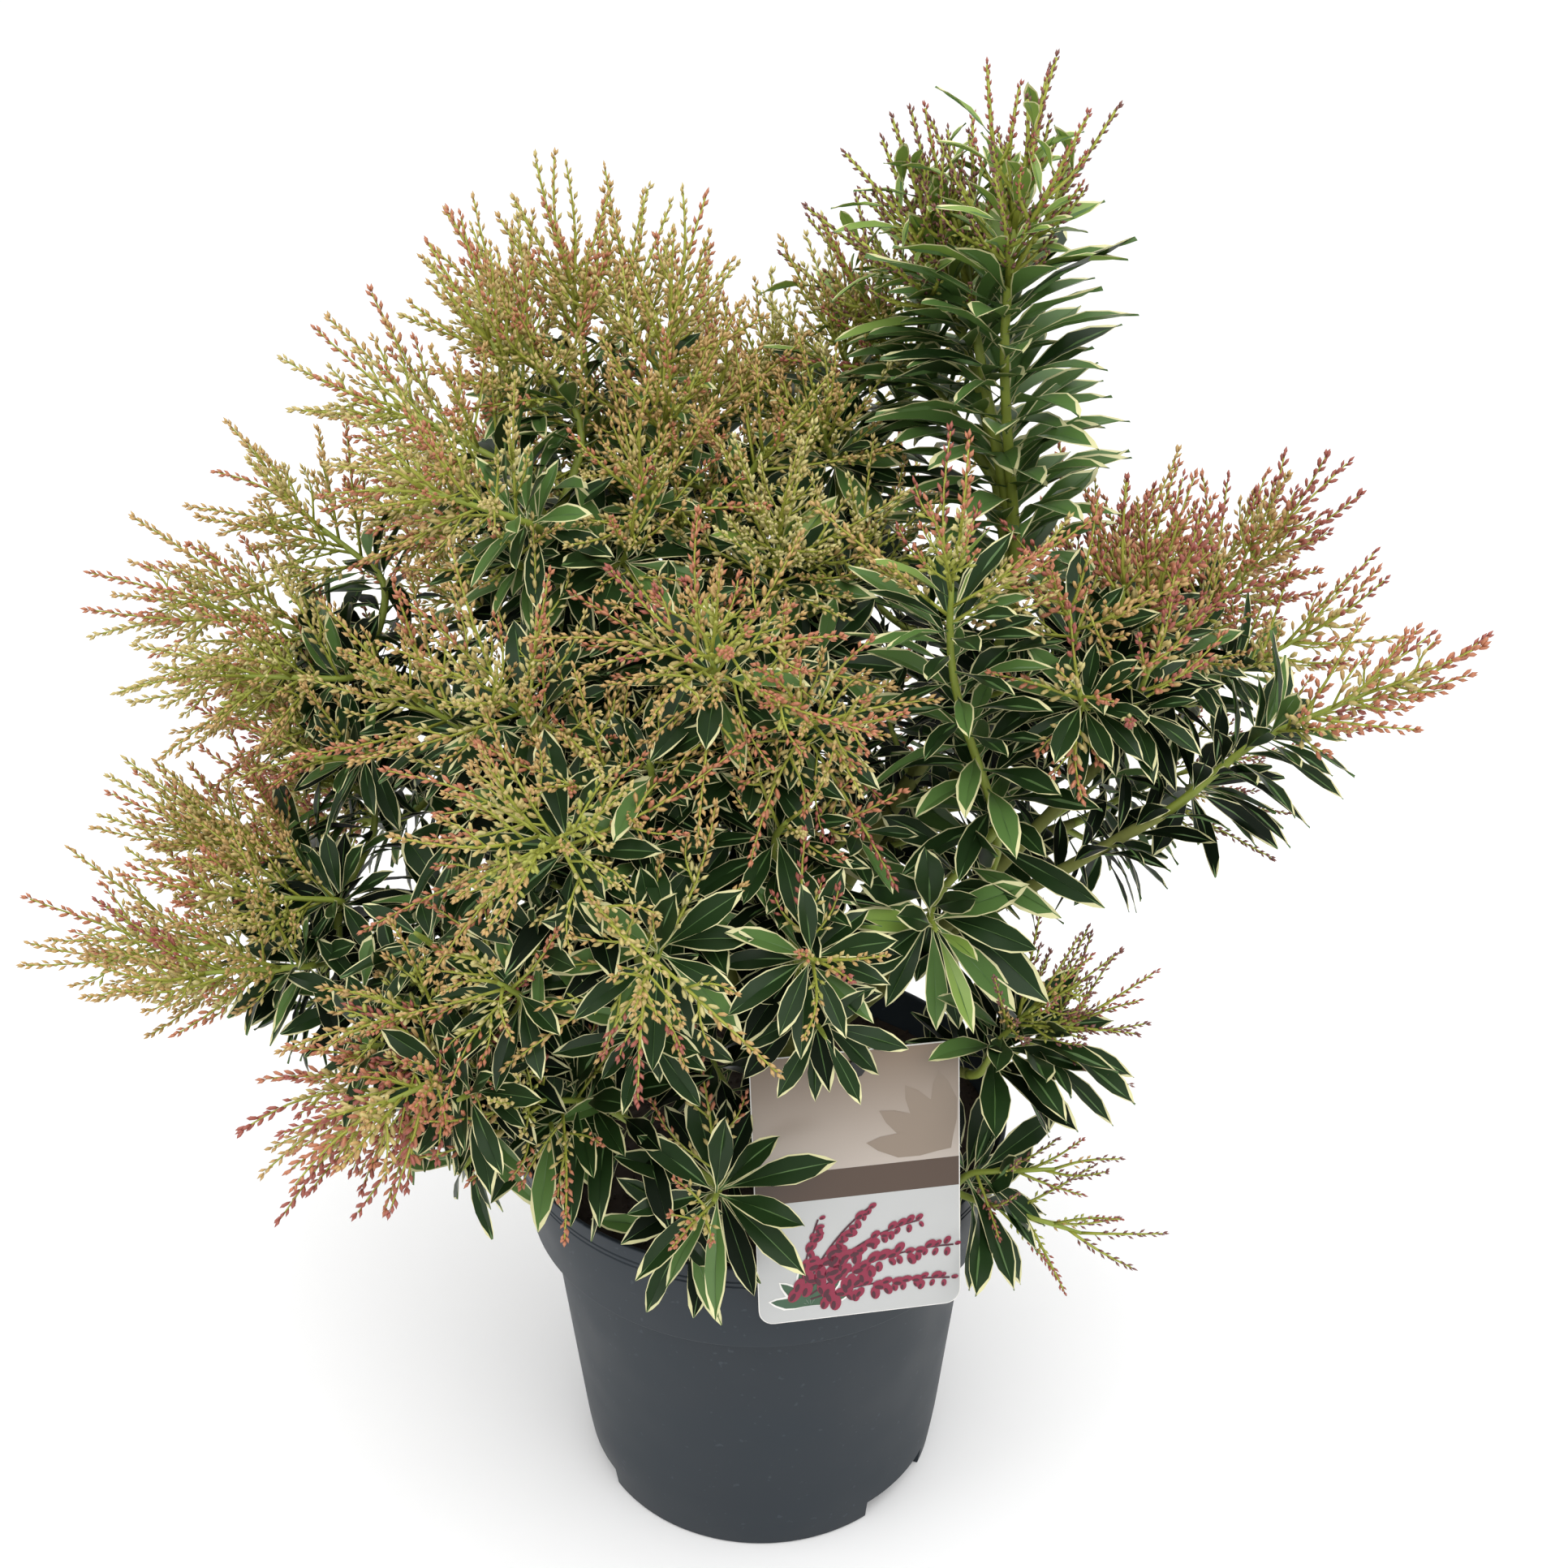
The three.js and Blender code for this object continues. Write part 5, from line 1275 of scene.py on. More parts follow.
def wedge(turn, width, inner, outer, low, high):
    """A block between two radii, as wide as an angle, at a turn."""
    points = []
    steps = 8
    for z in (low, high):
        for radius in (inner, outer):
            for k in range(steps + 1):
                angle = math.radians(turn - 90 + width * (k / steps - 0.5))
                points.append((radius * math.cos(angle), radius * math.sin(angle), z))
    row = steps + 1
    faces = []
    for k in range(steps):
        faces += [(k, k + 1, row + k + 1, row + k), (k, 2 * row + k, 2 * row + k + 1, k + 1),
                  (2 * row + k, 3 * row + k, 3 * row + k + 1, 2 * row + k + 1),
                  (row + k, row + k + 1, 3 * row + k + 1, 3 * row + k)]
    for k in (0, steps):
        faces.append((k, row + k, 3 * row + k, 2 * row + k))
    return points, faces


def drain_cylinder(index):
    """The cutter of one drain hole in the pot's floor."""
    angle = 2 * math.pi * index / DRAIN.count
    x, y = DRAIN.circle * math.cos(angle), DRAIN.circle * math.sin(angle)
    middle = POT.floor_top
    profile = [(0, middle - DRAIN.length / 2), (DRAIN.radius, middle - DRAIN.length / 2),
               (DRAIN.radius, middle + DRAIN.length / 2), (0, middle + DRAIN.length / 2)]
    points, faces = turned_mesh(profile, DRAIN.sides)
    return [(px + x, py + y, pz) for px, py, pz in points], faces


def cut_away(piece, cutters):
    """Cuts shapes out of a piece, and leaves it a plain mesh."""
    collection = bpy.data.collections.new("cutters")
    for points, faces in cutters:
        cutter = mesh_object("cutter", points, faces, piece.data.materials[0])
        bpy.context.scene.collection.objects.unlink(cutter)
        collection.objects.link(cutter)
    modifier = piece.modifiers.new("Cut", "BOOLEAN")
    modifier.operand_type = "COLLECTION"
    modifier.collection = collection
    modifier.solver = "EXACT"
    evaluated = piece.evaluated_get(bpy.context.evaluated_depsgraph_get())
    whole = piece.data
    cut = bpy.data.meshes.new_from_object(evaluated)
    piece.modifiers.remove(modifier)
    piece.data = cut
    bpy.data.meshes.remove(whole)
    drop_collection(collection)


def moulded_plastic(sizes):
    """Injection-moulded recycled polypropylene: matt slate grey, a faint cloudiness, and dried dust."""
    material = finish("Moulded_Polypropylene", sizes.plastic, 0.5, ior=1.34)
    tree = material.node_tree
    # clouds about 60 mm wide, where the masterbatch is mixed unevenly
    clouds = noise_over(tree, 16.0)
    # specks of dried mud and dust, 1 to 2 mm across and far apart
    specks = ranged(tree, noise_over(tree, 230.0, detail=1.0), 0.7, 0.76, to_high=0.55)
    veil = ranged(tree, clouds, 0.35, 0.75, to_high=0.16)
    rough = ranged(tree, clouds, 0.3, 0.7, to_low=0.42, to_high=0.56)
    tree.links.new(rough, tree.nodes["Principled BSDF"].inputs["Roughness"])
    return blended(material, calculated(tree, "MAXIMUM", specks, veil), sizes.plastic, sizes.dust)


def moist_compost(sizes):
    """Peat and bark compost, moist: very dark brown, dull, lighter fibres here and there."""
    material = finish("Moist_Compost", sizes.compost, 0.92)
    # crumbs and fibres 3 mm across
    crumbs = noise_over(material.node_tree, 330.0)
    return blended(material, crumbs, darker(sizes.compost, 0.45), sizes.compost)


class PIERIS_OT_pot(bpy.types.Operator):
    """Makes the round nursery pot with its lip, collar, foot notches and drain holes"""
    bl_idname = "pieris.pot"
    bl_label = "Pot"

    def execute(self, context):
        sizes = context.scene.pieris_pot
        points, faces = turned_mesh(pot_profile(sizes.lip / MM, sizes.step / MM), POT.sides)
        piece = mesh_object("pot_shell", points, faces, moulded_plastic(sizes))
        inner, outer = POT.foot_inner - NOTCH.past, POT.foot + NOTCH.past
        cutters = [wedge(NOTCH.first_turn + k * 360 / NOTCH.count, NOTCH.width, inner, outer,
                         -NOTCH.past, NOTCH.height) for k in range(NOTCH.count)]
        cutters += [drain_cylinder(k) for k in range(DRAIN.count)]
        cut_away(piece, cutters)
        piece.data.shade_smooth()
        piece.data.set_sharp_from_angle(angle=math.radians(POT.sharp_from))
        settle(piece, ("pot",))
        return {"FINISHED"}


def compost_surface():
    """The compost as one closed body: a lumpy, slightly domed top, the sides along the pot, a flat bottom."""
    rings, sides = SOIL.rings, SOIL.sides
    edge = pot_radius(SOIL.top) - POT.wall - SOIL.gap
    wall = POT.wall + SOIL.side_gap
    neck = POT_HEIGHT - POT.collar_height
    bottom = POT.floor_top + SOIL.over_floor
    top = [(edge * k / rings, SOIL.top - SOIL.crown * (k / rings) ** 4) for k in range(rings + 1)]
    low = [(POT.collar_foot - wall, neck + POT.wall), (POT.neck - wall, neck - POT.wall),
           (POT.knee - wall, POT.knee_height), (POT.knee - 2 * wall, bottom), (0, bottom)]
    points, faces = turned_mesh(top + low, sides)
    for k, (x, y, z) in enumerate(points[:rings * sides]):
        lump = noise.noise(Vector((x, y, 0)) / SOIL.lump)
        lump += SOIL.small_share * noise.noise(Vector((x, y, SOIL.small_at)) / SOIL.small_lump)
        points[k] = (x, y, z + SOIL.grain * (lump - SOIL.sunk))
    return points, faces


def crumb_shapes():
    """Uneven lumps of eight faces."""
    rng = seeded("crumbs")
    ends = ((1, 0, 0), (-1, 0, 0), (0, 1, 0), (0, -1, 0), (0, 0, 1), (0, 0, -1))
    faces = [(0, 2, 4), (2, 1, 4), (1, 3, 4), (3, 0, 4), (2, 0, 5), (1, 2, 5), (3, 1, 5), (0, 3, 5)]
    corners = np.array(ends, float) * CRUMBS.half
    return [(corners * stretch * rng.uniform(*CRUMBS.varies, corners.shape), faces)
            for stretch in ((1, 0.7, 0.6), (1, 0.45, 0.35), (0.8, 0.8, 0.5))]


class PIERIS_OT_compost(bpy.types.Operator):
    """Makes the compost in the pot, with crumbs strewn over it"""
    bl_idname = "pieris.compost"
    bl_label = "Compost"

    def execute(self, context):
        sizes = context.scene.pieris_pot
        material = moist_compost(sizes)
        body = mesh_object("compost_body", *compost_surface(), material)
        mesh = body.data
        bpy.data.objects.remove(body)
        shapes = shape_collection("crumb", crumb_shapes())
        piece = grown_object("compost", mesh, crumb_tree(), {
            "Shapes": shapes, "Density": CRUMBS.density, "Smallest": sizes.crumb * CRUMBS.smallest,
            "Largest": sizes.crumb, "Seed": CRUMBS.seed, "Material": material})
        drop_collection(shapes)
        settle(piece, ("soil",))
        return {"FINISHED"}


# -------- wood
def limb_chain(limb, steps):
    """A limb's middle line with its radius at each point."""
    chain = []
    for share in shares(steps + 1):
        radius = lerp(limb.foot, limb.tip, share)
        if limb.name == "trunk":
            flare = max(0.0, 1 - share * TRUNK.height / TRUNK.flare)
            radius += (TRUNK.foot - TRUNK.waist) * flare ** 2
        chain.append((bezier(limb.knots, share), radius))
    return chain


def twig_chain(twig, foot, tip, steps):
    """A twig's middle line out to its rosette and on to the end of its spike."""
    end = twig.knots[-1] + twig.axis * twig.spike
    chain = [(bezier(twig.knots, share), lerp(foot, tip, share)) for share in shares(steps + 1)]
    middle = lerp(twig.knots[-1], end, 0.5)
    return chain + [(middle, tip * TWIG.spike_middle), (end, tip * TWIG.spike_end)]


def bark_finish(name, bark, dark_share, scale):
    """Bark whose furrows are a little darker than its ridges."""
    material = finish(name, bark, 0.85)
    return blended(material, noise_over(material.node_tree, scale), darker(bark, dark_share), bark)


class PIERIS_OT_wood(bpy.types.Operator):
    """Makes the trunk, the boughs and the twigs, with the bark's relief"""
    bl_idname = "pieris.wood"
    bl_label = "Trunk, Boughs and Twigs"

    def execute(self, context):
        sizes = context.scene.pieris_wood
        scale = 1000 / (sizes.grain / MM)
        limbs = all_limbs()
        boughs = [limb_chain(limbs[name], BOUGH.steps) for name in LIMB_NODES]
        twigs = []
        for mass in MASSES:
            stout = mass.stout ** 0.5
            twigs += [twig_chain(twig, TWIG.foot * stout, TWIG.tip * stout, TWIG.steps)
                      for twig in mass_twigs()[mass.name]]
        twigs += [twig_chain(twig, SIDE_TWIG.foot, SIDE_TWIG.tip, SIDE_TWIG.steps)
                  for finer in side_twigs().values() for twig in finer]
        # grey-brown and furrowed: the relief runs in bumps as wide as the grain
        furrowed = bark_finish("Furrowed_Grey_Bark", sizes.old_bark, 0.5, scale)
        stem_piece("trunk_bark", [limb_chain(limbs["trunk"], TRUNK.steps)], ("trunk",),
                   TRUNK.sides, sizes.relief * TRUNK.relief, scale, furrowed)
        # olive and nearly smooth, with low bumps where leaves have fallen
        olive = bark_finish("Smooth_Olive_Bark", sizes.young_bark, 0.7, scale)
        stem_piece("bough_bark", boughs, LIMB_NODES, BOUGH.sides, sizes.relief, scale, olive)
        # this year's wood: smooth, yellow-green, a slight wax bloom
        green = finish("Green_Twig", sizes.twig, 0.55)
        stem_piece("twigs", twigs, MASS_NODES, TWIG.sides, sizes.relief * TWIG.relief, scale, green)
        return {"FINISHED"}


# -------- leaves as meshes
STATIONS = (0.0, 0.12, 0.28, 0.46, 0.64, 0.8, 0.92, 1.0)
HALF_WIDTHS = (0.06, 0.12, 0.5, 0.86, 1.0, 0.83, 0.46, 0.02)   # of the widest half
BLADE = Sizes(             # shares of the leaf's length, and of its half width for the margin and edge
    half_varies=(0.88, 1.12), fold=(0.14, 0.4), arch=(0.02, 0.16), wave=(0.004, 0.02), waves=9,
    twist=0.4, rib=0.005, rib_taper=0.6, rib_most=0.4, tip_from=0.95, tip_rib=1.2,
    pale_varies=(0.3, 1.8), pale_more=2.4, pale_from=0.7, pale_over=0.3, edge_varies=(0.92, 1.06),
    usual_length=60, kinds=6, new_kinds=5
)
ACROSS = 6                 # spots across a leaf at each station, with five strips between them
PARTS = {"margin": (0, 4), "blade": (1, 3), "midrib": (2,)}   # the strips that each sheet takes


def leaf_shape(rng, width, margin):
    """One leaf a unit long, as three sheets that meet: blade, margin and midrib."""
    half = width / 2 * rng.uniform(*BLADE.half_varies)
    fold, arch, wave = (rng.uniform(*limits) for limits in (BLADE.fold, BLADE.arch, BLADE.wave))
    twist = rng.uniform(-BLADE.twist, BLADE.twist)
    spots = []
    for share, grown in zip(STATIONS, HALF_WIDTHS):
        outer = half * grown
        rib = min(BLADE.rib * (1 - BLADE.rib_taper * share), outer * BLADE.rib_most)
        row = []
        for side in (-1, 1):
            pale = margin * rng.uniform(*BLADE.pale_varies)
            pale *= 1.0 + BLADE.pale_more * max(0.0, share - BLADE.pale_from) / BLADE.pale_over
            inner = rib * BLADE.tip_rib if share > BLADE.tip_from else max(outer - pale, rib)
            edge = outer * rng.uniform(*BLADE.edge_varies)
            row += [(side, edge), (side, inner), (side, rib)][::-side]
        for side, across in row:
            y = side * across
            lift = fold * across - arch * share ** 2 + wave * math.sin(BLADE.waves * share + 2 * side)
            spots.append((share, y * math.cos(twist * share), lift + y * math.sin(twist * share)))
    return {part: leaf_sheet(spots, strips) for part, strips in PARTS.items()}


def leaf_sheet(spots, strips):
    """The points and faces of some strips, out of all the spots of a leaf."""
    faces = []
    for k in range(0, len(spots) - ACROSS, ACROSS):
        faces += [(k + c, k + ACROSS + c, k + ACROSS + c + 1, k + c + 1) for c in strips]
    used = sorted({corner for face in faces for corner in face})
    order = {corner: i for i, corner in enumerate(used)}
    return [spots[corner] for corner in used], [tuple(order[corner] for corner in face) for face in faces]


def leaf_points_mesh(leaves, kinds):
    """The points that carry leaves, with how each is turned and sized."""
    turned = []
    for leaf in leaves:
        side = np.cross(leaf.face, leaf.out)
        turned.append(tuple(Matrix(np.column_stack((leaf.out, side, leaf.face)).tolist()).to_euler()))
    lengths = [leaf.length * MM for leaf in leaves]
    widths = [leaf.length * MM * SLIM.get(leaf.green, 1.0) for leaf in leaves]
    size = list(zip(lengths, widths, lengths))
    roots = [leaf.root * MM for leaf in leaves]
    droop = [leaf.droop / (leaf.length * MM) for leaf in leaves]
    return points_mesh([leaf.root for leaf in leaves], turned=turned, size=size, root=roots, droop=droop,
                       kind=np.asarray(kinds, int))


class PIERIS_OT_leaves(bpy.types.Operator):
    """Makes the leaves: blades in three greens and a painted shade green, pale margins and midribs"""
    bl_idname = "pieris.leaves"
    bl_label = "Leaves"

    def execute(self, context):
        sizes = context.scene.pieris_leaves
        rng = seeded("leaf shapes")
        margin = sizes.margin / (BLADE.usual_length * MM)
        margins = [margin] * BLADE.kinds + [margin * sizes.new_margin] * BLADE.new_kinds
        shapes = [leaf_shape(rng, sizes.width, wide) for wide in margins]
        leaves = all_leaves()
        kinds = rng.integers(0, BLADE.kinds, len(leaves))
        kinds += np.where([leaf.green in ("fresh", "young") for leaf in leaves], BLADE.new_kinds, 0)
        # leathery evergreen leaves, glossy above from their wax; the shade green is painted shade, a darker
        # and duller copy of the leaf green for the leaves inside the crown
        greens = {
            "deep": finish("Leathery_Leaf_Deep", sizes.deep, 0.36, ior=1.26),
            "fresh": finish("Leathery_Leaf_Fresh", sizes.fresh, 0.36, ior=1.28),
            "shade": finish("Leathery_Leaf_Shade", sizes.shade, 0.5, ior=1.18),
            "young": finish("Soft_Young_Leaf", sizes.young, 0.45),
        }
        blades = shape_collection("blade", [shape["blade"] for shape in shapes])
        for green, material in greens.items():
            chosen = [k for k, leaf in enumerate(leaves) if leaf.green == green]
            mesh = leaf_points_mesh([leaves[k] for k in chosen], kinds[chosen])
            spray_piece(f"leaf_blades_{green}", mesh, blades, sizes.sag, material)
        drop_collection(blades)
        # cells without leaf green: the pale rim and the raised midrib are matt and light
        trims = {
            "margin": finish("Pale_Leaf_Margin", sizes.cream, 0.5),
            "midrib": finish("Pale_Leaf_Midrib", sizes.rib, 0.5),
        }
        for part, material in trims.items():
            sheets = shape_collection(part, [shape[part] for shape in shapes])
            spray_piece(f"leaf_{part}s", leaf_points_mesh(leaves, kinds), sheets, sizes.sag, material)
            drop_collection(sheets)
        return {"FINISHED"}


# -------- blossom as meshes
def bud_shape(sides, rings):
    """A closed teardrop a unit long; a ring is (how far along, radius)."""
    points = [(0.0, 0.0, 0.0)]
    for x, radius in rings:
        for k in range(sides):
            angle = 2 * math.pi * k / sides
            points.append((x, radius * math.cos(angle), radius * math.sin(angle)))
    points.append((1.0, 0.0, 0.0))
    end = len(points) - 1
    last = end - sides
    faces = []
    for k in range(sides):
        n = (k + 1) % sides
        faces += [(0, 1 + n, 1 + k), (last + k, last + n, end)]
        for low in range(1, last, sides):
            faces.append((low + k, low + n, low + sides + n, low + sides + k))
    return points, faces


FULL_BUD = bud_shape(4, ((0.28, 0.44), (0.7, 0.52)))
TIP_BUD = bud_shape(4, ((0.52, 0.54),))


def stalk_shape():
    """A three-sided stalk a unit long, open at its ends, which are sunk in what they join."""
    points = []
    for x in (0.0, 1.0):
        for k in range(3):
            angle = 2 * math.pi * k / 3
            points.append((x, math.cos(angle), math.sin(angle)))
    return points, [(k, (k + 1) % 3, 3 + (k + 1) % 3, 3 + k) for k in range(3)]


def pointed_mesh(places, outs, size, kinds):
    """Points whose shapes point along a direction and don't sag."""
    turned = [tuple(Vector(out).to_track_quat("X", "Z").to_euler()) for out in outs]
    return points_mesh(places, turned=turned, size=size, root=np.array(places) * MM,
                       droop=np.zeros(len(places)), kind=np.array(kinds, int))


def raceme_chain(raceme, foot):
    """A raceme's middle line with its stem's radius at each point."""
    tip = RACEMES.thinnest * foot
    return [(raceme_point(raceme, share), lerp(foot, tip, share)) for share in shares(RACEMES.steps + 1)]


class PIERIS_OT_blossom(bpy.types.Operator):
    """Makes the racemes: their stems, and the buds on their stalks in seven colours"""
    bl_idname = "pieris.blossom"
    bl_label = "Racemes of Buds"

    def execute(self, context):
        sizes = context.scene.pieris_blossom
        green = finish("Raceme_Stem_Green", sizes.green, 0.6)
        chains = [raceme_chain(raceme, sizes.stem / MM * raceme.radius) for raceme in all_racemes()]
        stem_piece("raceme_stems", chains, MASS_NODES, RACEMES.sides, 0.0, RACEMES.smooth, green)
        buds = all_buds()
        stalked = [bud for bud in buds if bud.stalk > BUDS.shortest_stalk]
        mesh = pointed_mesh(
            [bud.root for bud in stalked], [bud.out for bud in stalked],
            [((bud.stalk + BUDS.stalk_sunk) * MM, sizes.stalk, sizes.stalk) for bud in stalked],
            [0] * len(stalked))
        stalk = shape_collection("stalk", [stalk_shape()])
        spray_piece("bud_stalks", mesh, stalk, 0.0, green)
        drop_collection(stalk)
        drops = shape_collection("bud", [FULL_BUD, TIP_BUD])
        for tint in ("rose", "salmon", "amber", "peach", "cream", "lime", "dusky"):
            # closed waxy buds: satin, and one colour to a spray
            material = finish(f"Waxy_Bud_{tint.title()}", getattr(sizes, tint), 0.5)
            chosen = [bud for bud in buds if bud.colour == tint]
            mesh = pointed_mesh(
                [bud.root + bud.out * bud.stalk for bud in chosen], [bud.out for bud in chosen],
                [(bud.length * MM, bud.length * MM * sizes.slimness, bud.length * MM * sizes.slimness)
                 for bud in chosen], [0 if bud.length > BUDS.full_from else 1 for bud in chosen])
            spray_piece(f"buds_{tint}", mesh, drops, 0.0, material)
        drop_collection(drops)
        return {"FINISHED"}


# -------- label
def on_card(x, y, layer):
    """A point of the card's printed face; each layer lies a little over the one before."""
    height = CARD.thickness / 2 + CARD.layer * layer
    return card_matrix() @ Vector((x, y, height))


def rounded_outline(low_x, low_y, high_x, high_y, corners):
    """A rectangle's outline; corners gives the rounding at each corner from the lower left, anticlockwise."""
    centres = ((low_x, low_y, 180), (high_x, low_y, 270), (high_x, high_y, 0), (low_x, high_y, 90))
    outline = []
    for (x, y, start), rounding in zip(centres, corners):
        middle_x = x + (rounding if x == low_x else -rounding)
        middle_y = y + (rounding if y == low_y else -rounding)
        for k in range(7 if rounding else 1):
            angle = math.radians(start + 15 * k)
            outline.append((middle_x + rounding * math.cos(angle), middle_y + rounding * math.sin(angle)))
    return outline


def oval(x, y, length, width, turn, sides):
    """An oval's outline, its long way turned by degrees."""
    outline = []
    for k in range(sides):
        angle = 2 * math.pi * k / sides
        a, b = length / 2 * math.cos(angle), width / 2 * math.sin(angle)
        c, s = math.cos(math.radians(turn)), math.sin(math.radians(turn))
        outline.append((x + a * c - b * s, y + a * s + b * c))
    return outline


def pointed_oval(x, y, length, width, turn):
    """A leaf's outline from its foot at a place, pointing along a turn in degrees."""
    c, s = math.cos(math.radians(turn)), math.sin(math.radians(turn))
    widest = 1.25              # over 1 for a widest place nearer to the tip
    outline = []
    for sign, stations in ((-1, (0, 0.15, 0.35, 0.6, 0.85)), (1, (1, 0.85, 0.6, 0.35, 0.15))):
        for share in stations:
            half = width / 2 * math.sin(math.pi * share ** widest) * sign
            outline.append((x + length * share * c - half * s, y + length * share * s + half * c))
    return outline


PRINT_STEP = 0.15          # of a layer, by which shapes that overlap in one print are kept apart
PRINT_STEPS = 5
INK_ROUGHNESS = 0.32


def printed(name, outlines, layer, material):
    """Flat printed shapes that face out of the card."""
    points = []
    faces = []
    for k, outline in enumerate(outlines):
        first = len(points)
        height = layer + PRINT_STEP * (k % PRINT_STEPS)
        points += [tuple(on_card(x, y, height) * MM) for x, y in outline]
        faces.append(tuple(range(first, first + len(outline))))
    mesh = bpy.data.meshes.new(name)
    mesh.from_pydata(points, [], faces)
    mesh.materials.append(material)
    settle(placed(name, mesh))


def ink(name, colour):
    """One colour of the card's offset print, under its satin varnish."""
    return finish("Offset_Print_" + name, colour, INK_ROUGHNESS)


def card_board(material):
    """The card itself: a thin board with rounded corners and a punched hole."""
    w, h, t = CARD.width / 2, CARD.height / 2, CARD.thickness
    outline = rounded_outline(-w, -h, w, h, (CARD.corner,) * 4)
    # the hole has as many sides as the outline, and its first one is at the outline's first corner
    ring = oval(0, h - CARD.hole_drop, 2 * CARD.hole, 2 * CARD.hole, 180, len(outline))
    loops = [[card_matrix() @ Vector((x, y, z)) for x, y in loop]
             for loop, z in ((outline, -t / 2), (outline, t / 2), (ring, t / 2), (ring, -t / 2))]
    count = len(outline)
    faces = []
    for row in range(4):
        a, b = row * count, (row + 1) % 4 * count
        faces += [(a + k, a + (k + 1) % count, b + (k + 1) % count, b + k) for k in range(count)]
    piece = mesh_object("label_board", sum(loops, []), faces, material)
    settle(piece, ("label_card",))


def graded_print(name, low, high, low_z, high_z):
    """Offset print that shades evenly from one colour to another up the card."""
    material = ink(name, low)
    tree = material.node_tree
    return blended(material, ranged(tree, height_in(tree, "Object"), low_z, high_z), low, high)


def with_hole(outline, hole_y, radius):
    """An outline cut in two halves round the hole, so that no print covers it."""
    low_x = min(x for x, _ in outline)
    high_x = max(x for x, _ in outline)
    low_y = min(y for _, y in outline)
    high_y = max(y for _, y in outline)
    rounding = CARD.corner - CARD.edge
    left = [(low_x, low_y), (0, low_y)]
    left += [(radius * math.sin(math.radians(a)), hole_y - radius * math.cos(math.radians(a)))
             for a in range(0, -181, -20)]
    left += [(0, high_y)]
    left += [(low_x + rounding - rounding * math.sin(math.radians(a)),
              high_y - rounding + rounding * math.cos(math.radians(a))) for a in range(0, 91, 15)]
    right = [(high_x + low_x - x, y) for x, y in reversed(left)]
    return [left, right]


class PIERIS_OT_label(bpy.types.Operator):
    """Makes the hanging label: a punched card with a plain printed sprig, and its black stake"""
    bl_idname = "pieris.label"
    bl_label = "Label"

    def execute(self, context):
        sizes = context.scene.pieris_label
        w, h, edge = CARD.width / 2 - CARD.edge, CARD.height / 2 - CARD.edge, CARD.edge
        # coated board with a satin varnish; the bare edge shows white
        card_board(finish("Coated_Card_Board", sizes.board, 0.4))
        split_low, split_high = -h + CARD.band_low * 2 * h, -h + CARD.band_high * 2 * h
        ground = graded_print("Graded", sizes.sky_low, sizes.sky_high, on_card(0, split_high, 0).z * MM,
                              on_card(0, h, 0).z * MM)
        upper = [(-w, split_high), (w, split_high), (w, h), (-w, h)]
        hole_y = CARD.height / 2 - CARD.hole_drop
        printed("label_print_ground", with_hole(upper, hole_y, CARD.hole + CARD.hole_rim), 1, ground)
        corner = CARD.corner - edge
        pale = rounded_outline(-w, -h, w, split_low, (corner, corner, 0, 0))
        printed("label_print_field", [pale], 1, ink("Pale", sizes.pale))
        band = [(-w, split_low), (w, split_low), (w, split_high), (-w, split_high)]
        printed("label_print_band", [band], 1, ink("Brown", sizes.band))
        printed_sprig(sizes, w, h, split_low, split_high)
        stake = bpy.data.objects["label_stake"]
        # black polypropylene strip and button, satin from the mould
        stake.data.materials.clear()
        stake.data.materials.append(finish("Black_Polypropylene", linear("#141517"), 0.4))
        return {"FINISHED"}


def printed_leaves(foot, turns, length, width):
    """Leaves that fan out from a foot, as wide outlines and as narrower ones that leave a pale rim."""
    leaves = [(foot[0], foot[1], length, width, turn) for turn in turns]
    inner_length, inner_width = length * SPRIG.inner[0], width * SPRIG.inner[1]
    inner = [(foot[0], foot[1], inner_length, inner_width, turn) for turn in turns]
    return [pointed_oval(*leaf) for leaf in leaves], [pointed_oval(*leaf) for leaf in inner]


PRINTED_SPRAYS = (         # how far across and up the pale field each spray reaches, and how much it arches
    (0.95, 0.22, 8), (0.97, 0.5, 14), (0.8, 0.74, 15), (0.56, 0.9, 10), (0.3, 0.84, 4),
)
SPRIG = Sizes(
    foot=(20, 10), leaf_foot=(6, -2), leaf_turns=(12, 40, 72, 104, 136, 168), leaf=(22, 8),
    shadow_foot=(-4, 5), shadow_turns=(98, 122, 146, 170), shadow=(44, 14), inner=(0.94, 0.72),
    sideways=0.4, stem=0.5, stem_steps=12, bell_spacing=3.0, first_bell=0.2, low_bell=10.5, high_bell=4.4,
    bell_varies=(0.75, 1.2), hang_varies=35, hang=-90, other_side=110, hang_drop=0.7, bell_width=0.66,
    bell_sides=14, shade_aside=(0.12, 0.14), shade=(0.55, 0.26), shade_sides=10
)


def ribbon(line, half):
    """A narrow band along a flat Bezier line."""
    points = [bezier(line, share) for share in shares(SPRIG.stem_steps + 1)]
    across = [unit(np.array((-(b - a)[1], (b - a)[0]))) * half for a, b in zip(points, points[1:])]
    over = [tuple(p + n) for p, n in zip(points[1:], across)]
    under = [tuple(p - n) for p, n in zip(points[1:], across)]
    return over + under[::-1]


